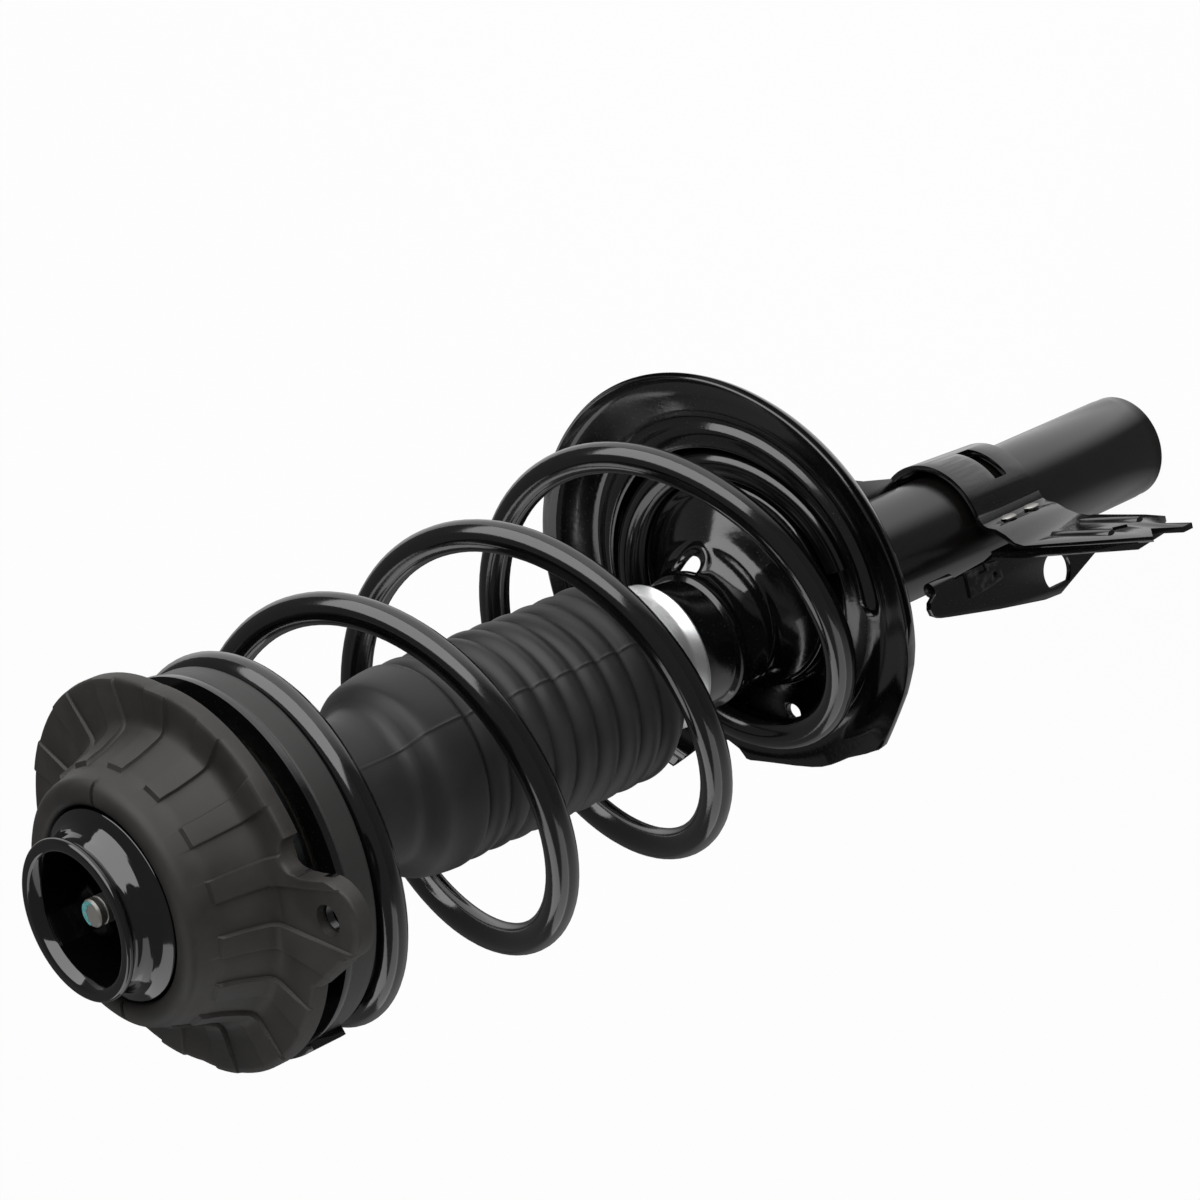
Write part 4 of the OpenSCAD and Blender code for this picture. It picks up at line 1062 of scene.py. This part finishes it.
class STRUT_OT_bracket(Piece):
    """Band, arm, hanging plate, clip and tab with their sheared edges broken, and two plug welds"""

    bl_idname = "strut.bracket"
    bl_label = "Brackets"

    plates = (
        ("clamp_bracket", "bracket_band_and_arm", 0.45, "enamel"),
        ("link_plate", "bracket_hanging_plate", 0.45, "enamel"),
        ("bracket_clip", "bracket_clip_plate", 0.25, "clip"),
        ("rear_tab", "tube_rear_tab", 0.6, "enamel"),
    )
    bead = ((0, -1.5), (2.3, -1.5), (2.3, -0.1), (4, -0.1), (3.8, 0.3), (3, 0.7), (1.6, 0.9), (0, 0.95))
    # the welds fill the punched holes where the arm leaves the band
    welds = (("plug_weld_low", (35.7, 2.5, 109)), ("plug_weld_high", (35.7, 2.5, 125)))

    def make(self):
        for node, name, width, key in self.plates:
            dress(eased_copy(node, name, width), "strut", "black_enamel", key, node)
        points, faces = lathe(metres(self.bead), 40)
        for name, place in self.welds:
            at = Vector(place) * MM
            piece = shape(name, [at + Vector((x, h, -y)) for x, y, h in points], faces, 50)
            dress(piece, "strut", "black_enamel", "weld")


class STRUT_OT_tube(Piece):
    """Damper tube with its rolled end and the seam of the closing cap"""

    bl_idname = "strut.tube"
    bl_label = "Damper tube"

    def make(self):
        tube, bore, lip, roll, seam = 25, 22.5, 16.5, 2.2, 92
        line = [(tube - 1.9, 0)]
        for k in range(1, 9):
            a = math.pi / 2 * k / 8
            line.append((tube - 2.45 + roll * math.sin(a), roll - roll * math.cos(a)))
        line += [
            (tube - 0.25, 2.4), (tube - 0.25, 7.8), (tube, 8.3), (tube, seam), (tube - 0.3, seam + 0.2),
            (tube - 0.3, seam + 1.3), (tube, seam + 1.5),
        ]
        top = [(tube, -2), (tube - 0.6, -0.6), (tube - 2, 0), (lip, 0), (lip, -3.5), (bore, -3.5)]
        line = metres(line) + metres(top, top_of("damper_tube")) + metres([(bore, 0.6), (bore + 0.3, 0)])
        piece = shape("damper_tube_drawn", *lathe(line, 192), 35)
        dress(piece, "strut", "black_enamel", "tube", "damper_tube")


class STRUT_OT_finishes(Piece):
    """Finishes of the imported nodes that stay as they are"""

    bl_idname = "strut.finishes"
    bl_label = "Finishes of packed parts"

    kept = {
        "tube_base_cap": "enamel", "inner_cylinder": "ground", "base_valve": "sintered",
        "rod_guide": "sintered", "rod_seal": "seal", "bearing_lower_race": "ground",
        "bearing_upper_race": "ground", "bearing_cage": "cage", "bearing_balls": "chrome",
        "mount_plate": "enamel", "rod_nut": "zinc", "nut_washer": "zinc", "piston": "sintered",
        "piston_band": "ptfe", "rebound_stop": "seal", "bump_stop": "foam",
    }

    def make(self):
        for node, key in self.kept.items():
            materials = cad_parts[node].data.materials
            materials.clear()
            materials.append(material_for(key))


class STRUT_OT_stage(Piece):
    """Pale floor, plain soft light and the camera"""

    bl_idname = "strut.stage"
    bl_label = "Stage"

    lens_mm, sensor_mm = 115.5, 36
    eye = (1.2242265, 0.3674583, 1.3624182)
    right = (0.6598081, -0.2335869, -0.7142062)
    up = (0.0, 0.9504574, -0.3108547)
    aim = (0.0, 0.0, 0.38)
    lamp_distance = 2.4
    # azimuth and elevation in degrees, half angles across and up, radiance, and whether gloss mirrors it
    lamps = (
        (76, 28, 40, 29, 2.3, True),
        (-80, 2, 36, 20, 0.75, True),
        (-118, 41, 18, 20, 1.15, True),
        (17, 5, 35, 25, 1.2, False),
    )
    dim_room = 0.13
    floor_half, floor_z, floor_white = 6.0, -0.2 * MM, 0.96
    # painted glow of the floor that only gloss sees, brighter towards each listed side: azimuth, the cosines
    # it comes up between, and its level
    lit_sides, dark_side = ((110, 0.25, 0.7, 1.0), (-85, 0.55, 0.95, 0.4)), 0.08

    def make(self):
        self.camera()
        self.floor()
        self.light()

    def camera(self):
        data = bpy.data.cameras.new("strut_camera")
        data.lens, data.sensor_width, data.sensor_fit = self.lens_mm, self.sensor_mm, "HORIZONTAL"
        data.clip_start, data.clip_end = 0.05, 50
        right, up = Vector(self.right).normalized(), Vector(self.up).normalized()
        view = Matrix((right, up, right.cross(up))).transposed().to_4x4()
        camera = linked("strut_camera", data)
        camera.matrix_world = Matrix.Translation(self.eye) @ view
        bpy.context.scene.camera = camera

    def floor(self):
        half, z = self.floor_half, self.floor_z
        mesh = bpy.data.meshes.new("stage_floor")
        corners = [(-half, -half, z), (half, -half, z), (half, half, z), (-half, half, z)]
        mesh.from_pydata(corners, [], [(0, 1, 2, 3)])
        floor = linked("stage_floor", mesh)
        material = bpy.data.materials.new("matt_paper_floor")
        material.use_nodes = True
        tree = material.node_tree
        tree.nodes.clear()
        rays = add(tree, "ShaderNodeLightPath").outputs
        seen = rays["Is Camera Ray"]
        for kind in ("Is Glossy Ray", "Is Transmission Ray"):
            seen = add(tree, "ShaderNodeMath", {0: seen, 1: rays[kind]}, operation="MAXIMUM")
        # the rest of the paper's own shading keeps the shadow of the strut
        share = add(tree, "ShaderNodeMath", {0: seen, 1: self.floor_white}, operation="MULTIPLY")
        paper = add(tree, "ShaderNodeBsdfDiffuse", {"Color": settings().look.floor})
        glow = self.paper_glow(tree, rays["Is Camera Ray"])
        white = add(tree, "ShaderNodeEmission", {"Color": (1, 1, 1, 1), "Strength": glow})
        both = add(tree, "ShaderNodeMixShader", {0: share, 1: paper, 2: white})
        add(tree, "ShaderNodeOutputMaterial", {"Surface": both})
        mesh.materials.append(material)

    def paper_glow(self, tree, glow):
        """White to the camera; to gloss the paper shows a painted glow, bright under the soft boxes and dim
        between them.
        """
        place = add(tree, "ShaderNodeTexCoord").outputs["Object"]
        way = add(tree, "ShaderNodeVectorMath", {0: place}, operation="NORMALIZE")
        # painted light: a glow seen only in reflections, brighter towards each of these sides of the floor
        for azimuth, dim, full, level in self.lit_sides:
            a = math.radians(azimuth)
            side = (math.cos(a), math.sin(a), 0)
            facing = add(tree, "ShaderNodeVectorMath", {0: way, 1: side}, operation="DOT_PRODUCT")
            levels = {"Value": facing, "From Min": dim, "From Max": full}
            lit = add(tree, "ShaderNodeMapRange", {**levels, "To Min": self.dark_side, "To Max": level})
            glow = add(tree, "ShaderNodeMath", {0: glow, 1: lit}, operation="MAXIMUM")
        return glow

    def light(self):
        world = bpy.data.worlds.new("studio")
        world.use_nodes = True
        tree = world.node_tree
        tree.nodes.clear()
        # the room is white to the camera and dim to everything else
        seen = add(tree, "ShaderNodeLightPath").outputs["Is Camera Ray"]
        strength = add(tree, "ShaderNodeMapRange", {"Value": seen, "To Min": self.dim_room, "To Max": 1.0})
        sky = add(tree, "ShaderNodeBackground", {"Color": (1, 1, 1, 1), "Strength": strength})
        add(tree, "ShaderNodeOutputWorld", {"Surface": sky})
        bpy.context.scene.world = world
        bpy.context.scene.view_settings.view_transform = "Standard"
        for i, (azimuth, elevation, across, upward, radiance, mirrored) in enumerate(self.lamps):
            a, e = math.radians(azimuth), math.radians(elevation)
            way = Vector((math.cos(a) * math.cos(e), math.sin(a) * math.cos(e), math.sin(e)))
            data = bpy.data.lights.new(f"soft_box_{i}", "AREA")
            data.shape = "RECTANGLE"
            data.size = 2 * self.lamp_distance * math.tan(math.radians(across))
            data.size_y = 2 * self.lamp_distance * math.tan(math.radians(upward))
            data.energy = radiance * math.pi * data.size * data.size_y
            lamp = linked(data.name, data)
            lamp.location = Vector(self.aim) + way * self.lamp_distance
            lamp.rotation_mode = "QUATERNION"
            lamp.rotation_quaternion = (-way).to_track_quat("-Z", "Y")
            lamp.visible_camera, lamp.visible_glossy = False, mirrored


OPERATORS = (
    STRUT_OT_stage, STRUT_OT_spring, STRUT_OT_boot, STRUT_OT_dome, STRUT_OT_cup, STRUT_OT_rod,
    STRUT_OT_seat, STRUT_OT_upper_seat, STRUT_OT_bracket, STRUT_OT_tube, STRUT_OT_finishes,
)


class STRUT_PT_panel(bpy.types.Panel):
    """Lists the strut's pieces"""

    bl_idname = "STRUT_PT_panel"
    bl_label = "Strut"
    bl_space_type = "VIEW_3D"
    bl_region_type = "UI"
    bl_category = "Strut"

    def draw(self, context):
        for operator in OPERATORS:
            self.layout.operator(operator.bl_idname)
        for group in ("spring", "boot", "mount", "seat", "look"):
            box = self.layout.box()
            props = getattr(context.scene.strut, group)
            for name in props.__annotations__:
                box.prop(props, name)


CLASSES = (
    StrutSpringProps, StrutBootProps, StrutMountProps, StrutSeatProps, StrutLookProps, StrutProps,
    *OPERATORS, STRUT_PT_panel,
)


def register():
    for group in CLASSES:
        bpy.utils.register_class(group)
    bpy.types.Scene.strut = PointerProperty(type=StrutProps)


def unregister():
    del bpy.types.Scene.strut
    for group in reversed(CLASSES):
        bpy.utils.unregister_class(group)


def main():
    register()
    bpy.ops.strut.stage()
    bpy.ops.strut.spring()
    bpy.ops.strut.boot()
    bpy.ops.strut.dome()
    bpy.ops.strut.cup()
    bpy.ops.strut.rod()
    bpy.ops.strut.seat()
    bpy.ops.strut.upper_seat()
    bpy.ops.strut.bracket()
    bpy.ops.strut.tube()
    bpy.ops.strut.finishes()


if __name__ == "__main__":
    main()
